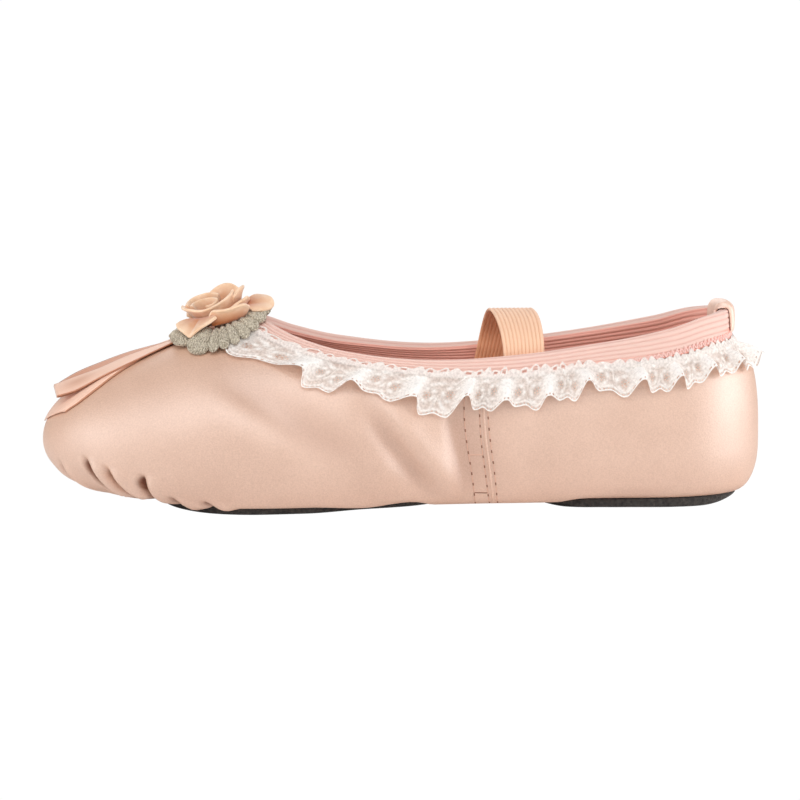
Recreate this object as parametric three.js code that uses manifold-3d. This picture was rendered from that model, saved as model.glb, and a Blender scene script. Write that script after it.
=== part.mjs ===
// A satin split-sole ballet slipper. Ribbed elastic binds its collar, gathered lace hangs below the binding,
// an elastic strap crosses the instep, and a rolled cloth rose sits on a crocheted frill over a ribbon bow.
// Millimetres. +X runs from toe to heel, +Y across the shoe and +Z up, with the origin on the floor under the
// middle of the shoe. The last is straight, so both sides of the plane Y = 0 are alike.
import * as THREE from 'three';
import Module from 'manifold-3d';

const wasm = await Module();
wasm.setup();
const { lerp, smoothstep, degToRad } = THREE.MathUtils;

// Driving dimensions of the last and the upper
const LENGTH = 240.6;
const BALL_WIDTH = 80;
const WAIST_WIDTH = 62;
const HEEL_WIDTH = 61;
const VAMP_LENGTH = 72.5; // toe tip to throat
const HEEL_LEAN = 11; // how far the collar's back lies in front of the heel's back
const WALL = 1.4;
const GAP = 0.3; // between pieces that meet
const SOLE_THICKNESS = 3;
const INSOLE_THICKNESS = 1.5;
const ARCH_SAG = 1.6; // how far the cloth hangs below the top of the soles, between them
const TOE_SPRING = 1.6;

// Places along the shoe
const TOE_X = -LENGTH / 2;
const BACK_X = LENGTH / 2;
const THROAT_X = TOE_X + VAMP_LENGTH;
const COLLAR_BACK_X = BACK_X - HEEL_LEAN;
const BALL_X = -46;
const ARCH_X = 25;
const ARCH_REACH = 16.5;
const SPRING_X = -62; // where the sole starts to rise towards the toe

// Plan outlines, round in front and behind: places along X, and the half widths at three of them
const LAST_PLAN = {
  front: TOE_X, ball: BALL_X, waist: 35, heel: 84, back: BACK_X,
  ballHalf: BALL_WIDTH / 2, waistHalf: WAIST_WIDTH / 2, heelHalf: HEEL_WIDTH / 2, frontRound: 2.15, backRound: 2.3,
};
const COLLAR_PLAN = {
  front: THROAT_X, ball: -8, waist: 30, heel: 68, back: COLLAR_BACK_X,
  ballHalf: 26, waistHalf: 25.5, heelHalf: 23.5, frontRound: 2, backRound: 2.2,
};
const FEATHER_PLAN = {
  front: -97, ball: BALL_X, waist: 30, heel: 80, back: 113.5,
  ballHalf: 35, waistHalf: 24.5, heelHalf: 25.5, frontRound: 2.1, backRound: 2.3,
};
const FOREFOOT_PLAN = {
  front: -84, ball: BALL_X - 3, waist: -34, heel: -22, back: 6,
  ballHalf: 34, waistHalf: 33, heelHalf: 31, frontRound: 2.1, backRound: 2.1,
};
const HEEL_PLAN = {
  front: 43.5, ball: 62, waist: 72, heel: 84, back: 113,
  ballHalf: 25, waistHalf: 25.5, heelHalf: 26, frontRound: 2.2, backRound: 2.3,
};

// Height of the collar's cut edge and of the upper's widest line, from toe to heel
const COLLAR_HEIGHTS = [
  { x: THROAT_X, z: 61 },
  { x: -36, z: 55.8 },
  { x: -20, z: 51.6 },
  { x: 8, z: 48.7 },
  { x: 38, z: 50.1 },
  { x: 66, z: 53.8 },
  { x: 88, z: 58 },
  { x: 99, z: 61.2 },
  { x: COLLAR_BACK_X, z: 63 },
];
const WIDE_HEIGHTS = [
  { x: TOE_X, z: 21 },
  { x: BALL_X, z: 17 },
  { x: 35, z: 19 },
  { x: BACK_X, z: 18.5 },
];

// How the ribs of the upper fan out at the toe and the heel, as shares of the way round, and how they bulge
const TOE_FAN = 0.62;
const FEATHER_FAN = 0.45;
const HEEL_FAN = 0.4;
const TOE_BULGE = 2.15;
const SIDE_BULGE = 2;
const HEEL_BULGE = 3.1;
const CUFF_FAN = 0.32; // the collar stands upright at centre back, down to where the heel bulges out
const CUFF = { top: 0.13, foot: 0.44 };
const SPINE_FRONT = -58;
const SPINE_BACK = 88;

// Trim sizes
const BINDING_HEIGHT = 6.5;
const BINDING_THICKNESS = 1;
const LACE_THICKNESS = 0.7;
const LACE_TOP = { side: 4.6, heel: 8.4 }; // below the collar's cut edge, as are the next two
const LACE_HEM = { side: 19.2, heel: 19.8 };
const LACE_SCALLOP = 0.9;
const LACE_WAVE = 16.8;
const LACE_FRONT = 0.15; // share of the way round at which the lace starts, beside the rose
const STRAP_X = 36.8;
const STRAP_SKEW = 2.2; // the near end lies this far behind the middle, the far end as far in front
const STRAP_WIDTH = 13.5;
const STRAP_THICKNESS = 1;
const STRAP_TOP = 63.6;
const STRAP_TUCK = 11; // length sewn down inside the collar
const TAB_HALF_WIDTH = 9;
const RIBBON_THICKNESS = 0.7;
const ROSE_X = -60;
const ROSE_SEAT = 1.9; // the frill lies on the binding and the bow, this far above the vamp
const FRILL_RADIUS = 17;
const FRILL_PUFFS = 14;
const FRILL_BROAD = 1.1; // how much wider it is across the shoe than along it
const FRILL_DRAPE = 1.3; // how far its rim comes down on the bare vamp at its sides
const PETAL_THICKNESS = 0.8;

const COLUMNS = 64;
const UPPER_ROWS = [0, 0.13, 0.25, 0.37, 0.49, 0.61, 0.73, 0.83, 0.92, 1, 1.25, 1.5, 1.75, 2];

// Half width of a plan outline at a place along the shoe
function halfWidth(plan, x) {
  const rounded = (share, power) => (1 - Math.min(1, share) ** power) ** (1 / power);
  if (x <= plan.ball) return plan.ballHalf * rounded((plan.ball - x) / (plan.ball - plan.front), plan.frontRound);
  if (x >= plan.heel) return plan.heelHalf * rounded((x - plan.heel) / (plan.back - plan.heel), plan.backRound);
  if (x <= plan.waist) return lerp(plan.ballHalf, plan.waistHalf, smoothstep(x, plan.ball, plan.waist));
  return lerp(plan.waistHalf, plan.heelHalf, smoothstep(x, plan.waist, plan.heel));
}

// Smooth height through the rows of a table
function heightAt(rows, x) {
  const end = rows.length - 1;
  const i = Math.max(0, Math.min(end - 1, rows.findLastIndex((row) => row.x <= x)));
  const slope = (j) => {
    const before = rows[Math.max(0, j - 1)];
    const after = rows[Math.min(end, j + 1)];
    return (after.z - before.z) / (after.x - before.x);
  };
  const span = rows[i + 1].x - rows[i].x;
  const s = Math.max(0, Math.min(1, (x - rows[i].x) / span));
  const rise = s * s * (3 - 2 * s);
  const pull = span * s * (1 - s) * ((1 - s) * slope(i) - s * slope(i + 1));
  return lerp(rows[i].z, rows[i + 1].z, rise) + pull;
}

// A bump of height 1 that falls smoothly to 0 at its reach
const fade = (distance, reach) => (distance < reach ? Math.cos((Math.PI * distance) / (2 * reach)) ** 2 : 0);

// Toe spring of the sole, the level of the cloth on the soles, and the upper's underside, which sags between them
const springAt = (x) => TOE_SPRING * (Math.max(0, SPRING_X - x) / (SPRING_X - FEATHER_PLAN.front)) ** 2;
const onSoles = (x) => springAt(x) + SOLE_THICKNESS + GAP;
const undersideAt = (x) => onSoles(x) - ARCH_SAG * fade(Math.abs(x - ARCH_X), ARCH_REACH);

// The angle round the shoe runs from the throat along the near side to centre back at pi, then along the far side
const wrapped = (angle) => (angle + 4 * Math.PI) % (2 * Math.PI);
const turnOf = (angle) => (angle <= Math.PI ? angle : 2 * Math.PI - angle) / Math.PI;
const sideOf = (angle) => (angle <= Math.PI ? -1 : 1);
const between = (angle, front, back) => lerp(front, back, (1 - Math.cos(angle)) / 2);
const angleAt = (x) => Math.acos(1 - (2 * (x - THROAT_X)) / (COLLAR_BACK_X - THROAT_X));

// The four lines that every rib crosses: collar, widest line, feather edge and the middle of the underside
function ribLines(angle) {
  const a = wrapped(angle);
  const t = turnOf(a);
  const on = (x, half, z) => new THREE.Vector3(x, sideOf(a) * half, z);
  const collarX = between(a, THROAT_X, COLLAR_BACK_X);
  const heel = fade(1 - t, HEEL_FAN);
  const wideX = collarX - VAMP_LENGTH * fade(t, TOE_FAN) + HEEL_LEAN * heel;
  const featherFront = (FEATHER_PLAN.front - TOE_X) * fade(t, FEATHER_FAN);
  const featherX = wideX + featherFront - (BACK_X - FEATHER_PLAN.back) * heel;
  const spineX = between(a, SPINE_FRONT, SPINE_BACK);
  return {
    collar: on(collarX, halfWidth(COLLAR_PLAN, collarX), heightAt(COLLAR_HEIGHTS, collarX)),
    wide: on(wideX, halfWidth(LAST_PLAN, wideX), heightAt(WIDE_HEIGHTS, wideX)),
    feather: on(featherX, halfWidth(FEATHER_PLAN, featherX), undersideAt(featherX)),
    spine: on(spineX, 0, undersideAt(spineX)),
    bulge: lerp(lerp(SIDE_BULGE, TOE_BULGE, fade(t, TOE_FAN)), HEEL_BULGE, heel),
    cuff: fade(1 - t, CUFF_FAN),
  };
}

// Outer face of the upper: v is 0 at the collar, 1 at the widest line, 2 at the feather edge and 3 on the spine
function upperPoint(angle, v) {
  const { collar, wide, feather, spine, bulge, cuff } = ribLines(angle);
  if (v <= 1) {
    const upright = lerp(1, smoothstep(v, CUFF.top, CUFF.foot), cuff);
    const point = collar.clone().lerp(wide, upright * (1 - (1 - v) ** bulge));
    return point.setZ(lerp(collar.z, wide.z, v));
  }
  if (v <= 2) {
    const bend = ((v - 1) * Math.PI) / 2;
    const point = wide.clone().lerp(feather, 1 - Math.cos(bend));
    return point.setZ(lerp(wide.z, feather.z, Math.sin(bend)));
  }
  const point = feather.clone().lerp(spine, v - 2);
  return point.setZ(undersideAt(point.x));
}

function upperNormal(angle, v) {
  const small = 0.004;
  if (v >= 2) return new THREE.Vector3(0, 0, -1);
  const down = upperPoint(angle, v + small).sub(upperPoint(angle, v - small));
  const across = upperPoint(angle + small, v).sub(upperPoint(angle - small, v));
  return down.cross(across).normalize();
}

const upperOffset = (angle, v, offset) => upperPoint(angle, v).addScaledVector(upperNormal(angle, v), offset);

// A point beside the collar: a distance down the wall from its cut edge, or above it if negative, and an offset
function besideCollar(angle, distance, offset) {
  const step = 0.004;
  const edge = upperPoint(angle, 0);
  if (distance <= 0) {
    const down = upperPoint(angle, step).sub(edge).normalize();
    return upperOffset(angle, 0, offset).addScaledVector(down, distance);
  }
  let v = 0;
  let gone = 0;
  let last = edge;
  while (gone < distance) {
    v += step;
    const next = upperPoint(angle, v);
    gone += next.distanceTo(last);
    last = next;
  }
  return upperOffset(angle, v, offset);
}

// The point over a plan position on the vamp, found on the rib that passes over it
function overVamp(x, y, offset) {
  const side = y > 0 ? 1 : -1;
  const place = new THREE.Vector2(x, Math.abs(y));
  const ribAt = (angle) => {
    const { collar, wide, bulge } = ribLines(angle);
    const start = new THREE.Vector2(collar.x, Math.abs(collar.y));
    const way = new THREE.Vector2(wide.x, Math.abs(wide.y)).sub(start);
    return { start, way, bulge };
  };
  let low = 0;
  let high = Math.PI / 2;
  for (let i = 0; i < 40; i += 1) {
    const middle = (low + high) / 2;
    const { start, way } = ribAt(middle);
    if (way.cross(place.clone().sub(start)) < 0) low = middle;
    else high = middle;
  }
  const { start, way, bulge } = ribAt(low);
  const reach = place.clone().sub(start).dot(way) / way.lengthSq();
  const v = 1 - (1 - reach) ** (1 / bulge);
  return upperOffset(side < 0 ? low : 2 * Math.PI - low, v, offset);
}

// Solids from points and triangles, turned so that their faces point out
function solid(points, faces) {
  const volume = faces.reduce((sum, [i, j, k]) => sum + points[i].dot(points[j].clone().cross(points[k])), 0);
  const outward = volume < 0 ? faces.map(([i, j, k]) => [i, k, j]) : faces;
  const geometry = new THREE.BufferGeometry().setFromPoints(points);
  geometry.setIndex(outward.flat());
  geometry.computeVertexNormals();
  return geometry;
}

const quad = (i, j, k, l) => [[i, j, k], [i, k, l]];

// A solid through cross-sections of equal count, which closes on itself or is capped at both ends
function loft(sections, capFaces) {
  const size = sections[0].length;
  const count = sections.length;
  const at = (k, i) => (k % count) * size + (i % size);
  const faces = [];
  const joined = capFaces ? count - 1 : count;
  for (let k = 0; k < joined; k += 1) {
    for (let i = 0; i < size; i += 1) faces.push(...quad(at(k, i), at(k, i + 1), at(k + 1, i + 1), at(k + 1, i)));
  }
  for (const [i, j, k] of capFaces ?? []) {
    faces.push([at(0, i), at(0, k), at(0, j)]);
    faces.push([at(count - 1, i), at(count - 1, j), at(count - 1, k)]);
  }
  return solid(sections.flat(), faces);
}

const capOf = (profile) => THREE.ShapeUtils.triangulateShape(profile.map(([u, w]) => new THREE.Vector2(u, w)), []);
const BAND_CAP = [[0, 1, 2], [0, 2, 3]];

// A thin sheet between two grids of points with the same rows and columns
function sheet(outer, inner) {
  const rows = outer.length;
  const columns = outer[0].length;
  const at = (face, row, column) => (face * rows + row) * columns + column;
  const faces = [];
  for (let r = 0; r < rows - 1; r += 1) {
    for (let c = 0; c < columns - 1; c += 1) {
      faces.push(...quad(at(0, r, c), at(0, r, c + 1), at(0, r + 1, c + 1), at(0, r + 1, c)));
      faces.push(...quad(at(1, r, c), at(1, r + 1, c), at(1, r + 1, c + 1), at(1, r, c + 1)));
    }
  }
  for (let c = 0; c < columns - 1; c += 1) {
    const end = rows - 1;
    faces.push(...quad(at(0, 0, c), at(1, 0, c), at(1, 0, c + 1), at(0, 0, c + 1)));
    faces.push(...quad(at(0, end, c), at(0, end, c + 1), at(1, end, c + 1), at(1, end, c)));
  }
  for (let r = 0; r < rows - 1; r += 1) {
    const end = columns - 1;
    faces.push(...quad(at(0, r, 0), at(0, r + 1, 0), at(1, r + 1, 0), at(1, r, 0)));
    faces.push(...quad(at(0, r, end), at(1, r, end), at(1, r + 1, end), at(0, r + 1, end)));
  }
  return solid([...outer, ...inner].flat(), faces);
}

// A stack of rings, closed at each end by a row of points along the middle that both sides share
function ringStack(rings, firstSpine, lastSpine) {
  const count = rings[0].length;
  const points = [...rings.flat(), ...firstSpine, ...lastSpine];
  const at = (k, j) => k * count + (j % count);
  const spineStart = rings.length * count;
  const middle = (j) => Math.min(j % count, count - (j % count));
  const faces = [];
  for (let j = 0; j < count; j += 1) {
    for (let k = 0; k < rings.length - 1; k += 1) {
      faces.push(...quad(at(k, j), at(k, j + 1), at(k + 1, j + 1), at(k + 1, j)));
    }
    const first = (i) => spineStart + middle(i);
    const last = (i) => spineStart + firstSpine.length + middle(i);
    const end = rings.length - 1;
    faces.push(...quad(first(j), first(j + 1), at(0, j + 1), at(0, j)));
    faces.push(...quad(at(end, j), at(end, j + 1), last(j + 1), last(j)));
  }
  return solid(points, faces);
}

const anglesRound = (count) => Array.from({ length: count }, (_, j) => (2 * Math.PI * j) / count);
const steps = (count, from, to) => Array.from({ length: count + 1 }, (_, i) => lerp(from, to, i / count));

// A plate of a plan outline between two heights, with its lower edge cut back
function plate(plan, topAt, bottomAt, bevel) {
  const count = 40;
  const fan = 0.8 * plan.ballHalf;
  const angles = anglesRound(count);
  const spineX = (a) => between(a, plan.front + fan, plan.back - fan);
  const ring = (inset, heightOf) => angles.map((a) => {
    const x = between(a, plan.front, plan.back);
    const rim = new THREE.Vector2(x, sideOf(a) * halfWidth(plan, x));
    const inward = new THREE.Vector2(spineX(a), 0).sub(rim).setLength(inset);
    rim.add(inward);
    return new THREE.Vector3(rim.x, rim.y, heightOf(rim.x));
  });
  const spine = (heightOf) => angles.slice(0, count / 2 + 1).map((a) => {
    return new THREE.Vector3(spineX(a), 0, heightOf(spineX(a)));
  });
  const rings = [ring(0, topAt)];
  if (bevel) rings.push(ring(0, (x) => bottomAt(x) + bevel));
  rings.push(ring(bevel, bottomAt));
  return ringStack(rings, spine(topAt), spine(bottomAt));
}

const inset = (plan, edge) => ({
  ...plan,
  front: plan.front + edge,
  back: plan.back - edge,
  ballHalf: plan.ballHalf - edge,
  waistHalf: plan.waistHalf - edge,
  heelHalf: plan.heelHalf - edge,
});

// Cutting one solid by others
function toManifold(geometry) {
  const vertProperties = new Float32Array(geometry.getAttribute('position').array);
  const triVerts = new Uint32Array(geometry.getIndex().array);
  return new wasm.Manifold(new wasm.Mesh({ numProp: 3, vertProperties, triVerts }));
}

function cut(geometry, tools) {
  let body = toManifold(geometry);
  for (const tool of tools) body = body.subtract(toManifold(tool));
  const mesh = body.getMesh();
  const result = new THREE.BufferGeometry();
  result.setAttribute('position', new THREE.BufferAttribute(new Float32Array(mesh.vertProperties), 3));
  result.setIndex(Array.from(mesh.triVerts));
  result.computeVertexNormals();
  return result;
}

// Satin upper: one wall, open at the collar and underneath where the two soles close it
function upper() {
  const angles = anglesRound(COLUMNS);
  const ring = (v, offset) => angles.map((a) => upperOffset(a, v, offset));
  const spine = (offset) => angles.slice(0, COLUMNS / 2 + 1).map((a) => upperOffset(a, 3, offset));
  const outside = UPPER_ROWS.map((v) => ring(v, 0)).reverse();
  const inside = UPPER_ROWS.map((v) => ring(v, -WALL));
  const shell = ringStack([...outside, ...inside], spine(0), spine(-WALL));
  const lap = 7; // the cloth is turned under the soles' edges by this much
  const opening = (plan) => plate(inset(plan, lap), () => 12, () => -1, 0);
  return cut(shell, [opening(FOREFOOT_PLAN), opening(HEEL_PLAN)]);
}

const soleEdge = 0.8;
const sole = (plan) => plate(plan, (x) => springAt(x) + SOLE_THICKNESS, springAt, soleEdge);

function insole() {
  const edge = 1.5;
  const restsAt = (x) => onSoles(x) + WALL + GAP;
  return plate(inset(FEATHER_PLAN, edge), (x) => restsAt(x) + INSOLE_THICKNESS, restsAt, 0);
}

// Profiles folded over the collar, as distance down the wall and offset from its outer face
const bindingOut = GAP + BINDING_THICKNESS;
const bindingIn = -WALL - bindingOut;
const BINDING_PROFILE = [
  [BINDING_HEIGHT, GAP],
  [BINDING_HEIGHT, bindingOut],
  [0, bindingOut],
  [-1, bindingOut - 0.4],
  [-bindingOut, -WALL / 2],
  [-1, bindingIn + 0.4],
  [0, bindingIn],
  [BINDING_HEIGHT, bindingIn],
  [BINDING_HEIGHT, -WALL - GAP],
  [-GAP, -WALL - GAP],
  [-GAP, GAP],
];
const tabOut = bindingOut + GAP;
const tabIn = bindingIn - GAP;
const TAB_PROFILE = [
  [6.8, tabOut],
  [6.8, tabOut + 1],
  [1, tabOut + 1.3],
  [-1.8, tabOut + 0.8],
  [-3.4, 0.4],
  [-3.6, -0.8],
  [-3.2, -2.4],
  [-1.6, tabIn - 0.8],
  [1, tabIn - 1.2],
  [5.5, tabIn - 1],
  [5.5, tabIn],
  [0, tabIn],
  [-1.3, tabIn + 0.45],
  [-tabOut, -WALL / 2],
  [-1.3, tabOut - 0.45],
  [0, tabOut],
];

const folded = (profile, angle) => profile.map(([distance, offset]) => besideCollar(angle, distance, offset));
const binding = () => loft(anglesRound(COLUMNS).map((a) => folded(BINDING_PROFILE, a)));

// Angles at equal spacing along the collar edge, between two angles
function evenAngles(count, from, to) {
  const fine = steps(600, from, to);
  const lengths = [0];
  for (let i = 1; i < fine.length; i += 1) {
    lengths.push(lengths[i - 1] + upperPoint(fine[i], 0).distanceTo(upperPoint(fine[i - 1], 0)));
  }
  const total = lengths.at(-1);
  const angles = steps(count, 0, total).map((length) => {
    const i = Math.max(1, lengths.findIndex((sum) => sum >= length - 1e-9));
    return lerp(fine[i - 1], fine[i], (length - lengths[i - 1]) / (lengths[i] - lengths[i - 1]));
  });
  return { angles, total };
}

function heelTab() {
  const reach = TAB_HALF_WIDTH / halfWidth(COLLAR_PLAN, COLLAR_PLAN.heel);
  const { angles, total } = evenAngles(60, Math.PI - reach, Math.PI + reach);
  const wanted = angles.filter((_, i) => Math.abs((i / 60 - 0.5) * total) <= TAB_HALF_WIDTH && i % 4 === 2);
  return loft(wanted.map((a) => folded(TAB_PROFILE, a)), capOf(TAB_PROFILE));
}

// Gathered lace: it hangs from the binding's lower edge and waves out towards its scalloped hem
function lace() {
  const from = LACE_FRONT * Math.PI;
  const perWave = 6;
  const { total } = evenAngles(1, from, 2 * Math.PI - from);
  const waves = Math.round(total / LACE_WAVE);
  const { angles } = evenAngles(waves * perWave, from, 2 * Math.PI - from);
  const grid = (thickness) => ['top', 'middle', 'hem'].map((row) => angles.map((a, i) => {
    const heel = fade(1 - turnOf(a), 0.2);
    const wave = Math.sin((2 * Math.PI * i) / perWave);
    const top = lerp(LACE_TOP.side, LACE_TOP.heel, heel);
    const hem = lerp(LACE_HEM.side, LACE_HEM.heel, heel);
    const flare = lerp(1, 0.45, heel);
    const rest = bindingOut + GAP + thickness;
    const scallop = LACE_SCALLOP * Math.cos((4 * Math.PI * i) / perWave);
    if (row === 'top') return besideCollar(a, top, rest);
    if (row === 'middle') return besideCollar(a, (top + hem) / 2, rest + flare * (0.7 + 0.5 * wave));
    return besideCollar(a, hem + scallop, rest + flare * (2 + 1.4 * wave));
  }));
  return sheet(grid(LACE_THICKNESS), grid(0));
}

// Elastic strap: tucked in along the inner face of the binding, and arched over the opening
function strap() {
  const half = STRAP_THICKNESS / 2;
  const tuckOffset = bindingIn - GAP - 0.1 - half;
  const inside = (distance) => besideCollar(angleAt(STRAP_X), distance, tuckOffset);
  const low = inside(STRAP_TUCK);
  const brim = inside(0);
  const rise = STRAP_TOP - half - brim.z;
  const side = [new THREE.Vector2(low.y, low.z), new THREE.Vector2(brim.y, brim.z)];
  const arch = [24, 48, 70].map(degToRad).map((bend) => {
    return new THREE.Vector2(brim.y * Math.cos(bend), brim.z + rise * Math.sin(bend));
  });
  const near = [...side, ...arch];
  const far = near.map((p) => new THREE.Vector2(-p.x, p.y)).reverse();
  const path = new THREE.SplineCurve([...near, new THREE.Vector2(0, STRAP_TOP - half), ...far]);
  const sections = steps(26, 0, 1).map((u) => {
    const centre = path.getPoint(u);
    const along = path.getTangent(u);
    const x = STRAP_X + (STRAP_SKEW * centre.x) / brim.y;
    const corner = (across, up) => new THREE.Vector3(
      x + (across * STRAP_WIDTH) / 2,
      centre.x - along.y * up * half,
      centre.y + along.x * up * half,
    );
    return [corner(-1, -1), corner(1, -1), corner(1, 1), corner(-1, 1)];
  });
  return loft(sections, BAND_CAP);
}

// Ribbon bow: a tail that lies on the toe, and a loop that stands over it, on each side
const TAIL_START = { v: 0.12, inner: 0.02, outer: 0.22 };
const TAIL_END = { inner: 0.04, outer: 0.35, innerV: 0.86, outerV: 0.7 }; // cut at a slant

function bowTail(side) {
  const grid = (offset) => steps(10, 0, 1).map((along) => steps(4, 0, 1).map((across) => {
    const v = lerp(TAIL_START.v, lerp(TAIL_END.innerV, TAIL_END.outerV, across), along);
    const inner = lerp(TAIL_START.inner, TAIL_END.inner, along);
    const a = lerp(inner, lerp(TAIL_START.outer, TAIL_END.outer, along), across);
    return upperOffset(side < 0 ? a : 2 * Math.PI - a, v, offset);
  }));
  return sheet(grid(GAP + 0.1 + RIBBON_THICKNESS), grid(GAP + 0.1));
}

const LOOP_START = -79.2;
const LOOP_END = -114.2;
const LOOP_FOOT = 1.75; // its lower layer lies this far above the vamp
const LOOP_FULLNESS = { near: 1, far: 0.75 };
const LOOP_PATH = [
  { x: LOOP_START, above: LOOP_FOOT },
  { x: -92, above: LOOP_FOOT },
  { x: -107, above: 1.8 },
  { x: LOOP_END, above: 2.8 },
  { x: -107, above: 3.8 },
  { x: -92, above: 3.5 },
  { x: LOOP_START, above: 2.9 },
];

function bowLoop(side) {
  const fullness = side < 0 ? LOOP_FULLNESS.near : LOOP_FULLNESS.far;
  const level = (p) => LOOP_FOOT + fullness * (p.above - LOOP_FOOT);
  const path = new THREE.SplineCurve(LOOP_PATH.map((p) => new THREE.Vector2(p.x, level(p))));
  const half = RIBBON_THICKNESS / 2;
  const sections = steps(22, 0, 1).map((u) => {
    const centre = path.getPoint(u);
    const along = path.getTangent(u);
    const share = (centre.x - LOOP_START) / (LOOP_END - LOOP_START);
    const middle = lerp(3.4, 7.6, share);
    const halfBand = lerp(2.6, 4.8, share);
    const corner = (across, up) => overVamp(
      centre.x - along.y * up * half,
      side * (middle + across * halfBand),
      centre.y + along.x * up * half,
    );
    return [corner(-1, -1), corner(1, -1), corner(1, 1), corner(-1, 1)];
  });
  return loft(sections, BAND_CAP);
}

// The rose stands square to the vamp. Its own frame has a radius, an angle from the heel side, and a height
const ROSE_ANGLE = 0;
const roseFoot = overVamp(ROSE_X, 0, 0);
const roseUp = upperNormal(ROSE_ANGLE, 1 - (1 - (THROAT_X - ROSE_X) / VAMP_LENGTH) ** (1 / TOE_BULGE)).setY(0).normalize();
const roseBack = new THREE.Vector3(roseUp.z, 0, -roseUp.x);
const roseAcross = new THREE.Vector3(0, 1, 0);

function rosePoint(radius, angle, height) {
  return roseFoot.clone()
    .addScaledVector(roseBack, radius * Math.cos(angle))
    .addScaledVector(roseAcross, radius * Math.sin(angle))
    .addScaledVector(roseUp, height);
}

// Crocheted frill: a ring of puffs around a thin middle, which follows the vamp
const FRILL_RINGS = [
  { radius: 7.5, thickness: 1, puff: 0, scallop: 0 },
  { radius: 10.5, thickness: 2.2, puff: 0.2, scallop: 0 },
  { radius: 14, thickness: 3.2, puff: 0.5, scallop: 0 },
  { radius: FRILL_RADIUS, thickness: 2.4, puff: 0.6, scallop: 0.9 },
];

function roseFrill() {
  const angles = anglesRound(FRILL_PUFFS * 4);
  const place = (radius, angle, offset) => {
    const x = ROSE_X + radius * Math.cos(angle) * roseUp.z;
    const towardsSide = Math.abs(Math.abs(wrapped(angle) - Math.PI) - degToRad(62));
    const drape = FRILL_DRAPE * fade(towardsSide, degToRad(40)) * (radius / FRILL_RADIUS) ** 2;
    return overVamp(x, FRILL_BROAD * radius * Math.sin(angle), ROSE_SEAT - drape + offset);
  };
  const wave = (angle) => Math.cos(FRILL_PUFFS * angle);
  const ring = (row, share) => angles.map((angle) => {
    const thickness = row.thickness + row.puff * wave(angle);
    return place(row.radius + row.scallop * wave(angle), angle, share * thickness);
  });
  const tops = FRILL_RINGS.map((row) => ring(row, 1));
  const bottoms = FRILL_RINGS.map((row) => ring(row, 0)).reverse();
  const rings = [...tops, ...bottoms];
  const count = angles.length;
  const points = [...rings.flat(), place(0, 0, FRILL_RINGS[0].thickness), place(0, 0, 0)];
  const faces = [];
  const at = (k, j) => k * count + (j % count);
  const topMiddle = rings.length * count;
  for (let j = 0; j < count; j += 1) {
    for (let k = 0; k < rings.length - 1; k += 1) {
      faces.push(...quad(at(k, j), at(k, j + 1), at(k + 1, j + 1), at(k + 1, j)));
    }
    faces.push([topMiddle, at(0, j + 1), at(0, j)]);
    faces.push([topMiddle + 1, at(rings.length - 1, j), at(rings.length - 1, j + 1)]);
  }
  return solid(points, faces);
}

// Rolled middle of the rose: a strip of cloth wound into a spiral
function roseCore() {
  const turns = 2.2;
  const half = 0.45;
  const sections = steps(26, 0, turns * 2 * Math.PI).map((angle) => {
    const radius = 0.9 + (1.5 * angle) / (2 * Math.PI);
    const low = 3.2;
    const high = 12.8 - 0.12 * radius;
    return [
      rosePoint(radius - half, angle, low),
      rosePoint(radius + half, angle, low),
      rosePoint(radius + half, angle, high),
      rosePoint(radius - half, angle, high),
    ];
  });
  return loft(sections, BAND_CAP);
}

// Petals: direction and half spread in degrees, radius and height at root and rim, and how far they wind outwards
const PETALS = [
  { turn: 30, spread: 66, root: 6.3, rim: 8, low: 3.3, high: 13.2, wind: 0.8 },
  { turn: 150, spread: 66, root: 6.3, rim: 8, low: 3.3, high: 12.6, wind: 0.8 },
  { turn: 270, spread: 66, root: 6.3, rim: 8, low: 3.3, high: 12, wind: 0.8 },
  { turn: 75, spread: 43, root: 9.2, rim: 13.2, low: 4.6, high: 11.4, wind: 0.8 },
  { turn: 165, spread: 43, root: 9.2, rim: 11.6, low: 4.6, high: 9.6, wind: 0.8 },
  { turn: 255, spread: 43, root: 9.2, rim: 13, low: 4.6, high: 8.6, wind: 0.8 },
  { turn: 345, spread: 43, root: 9.2, rim: 13.2, low: 4.6, high: 10, wind: 0.8 },
  { turn: 236, spread: 27, root: 13.2, rim: 17.5, low: 6, high: 5, wind: 0 },
  { turn: 345, spread: 27, root: 13.4, rim: 17.6, low: 6.1, high: 6.2, wind: 0 },
  { turn: 112, spread: 27, root: 12.6, rim: 17.2, low: 4.6, high: 4, wind: 0 },
];

function petal({ turn, spread, root, rim, low, high, wind }) {
  const curl = 1.6;
  const droop = 0.22;
  const half = PETAL_THICKNESS / 2;
  const grid = (side) => steps(4, 0, 1).map((q) => steps(6, -1, 1).map((s) => {
    const angle = degToRad(turn + s * spread);
    const tall = (high - low) * (1 - droop * s * s);
    const slopeOut = (rim - root) * curl * Math.max(q, 0.05) ** (curl - 1);
    const steep = Math.hypot(tall, slopeOut);
    const radius = root + (rim - root) * q ** curl + wind * s + (side * half * tall) / steep;
    return rosePoint(radius, angle, low + tall * q - (side * half * slopeOut) / steep);
  }));
  return sheet(grid(1), grid(-1));
}

// Finishes
const finish = (color, roughness) => new THREE.MeshStandardMaterial({ color, roughness, metalness: 0 });
const satin = finish('#e6c3b0', 0.45);
const elastic = finish('#efc4ba', 0.75);
const laceCotton = finish('#f4f1ec', 0.9);
const strapElastic = finish('#f6cda4', 0.75);
const ribbonSatin = finish('#dfab91', 0.45);
const crochetYarn = finish('#b9b5a2', 0.95);
const roseCloth = finish('#efbf96', 0.85);
const soleSuede = finish('#3b3836', 0.9);
const insoleCloth = finish('#e2c3b4', 0.9);

const slipper = new THREE.Group();

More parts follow.
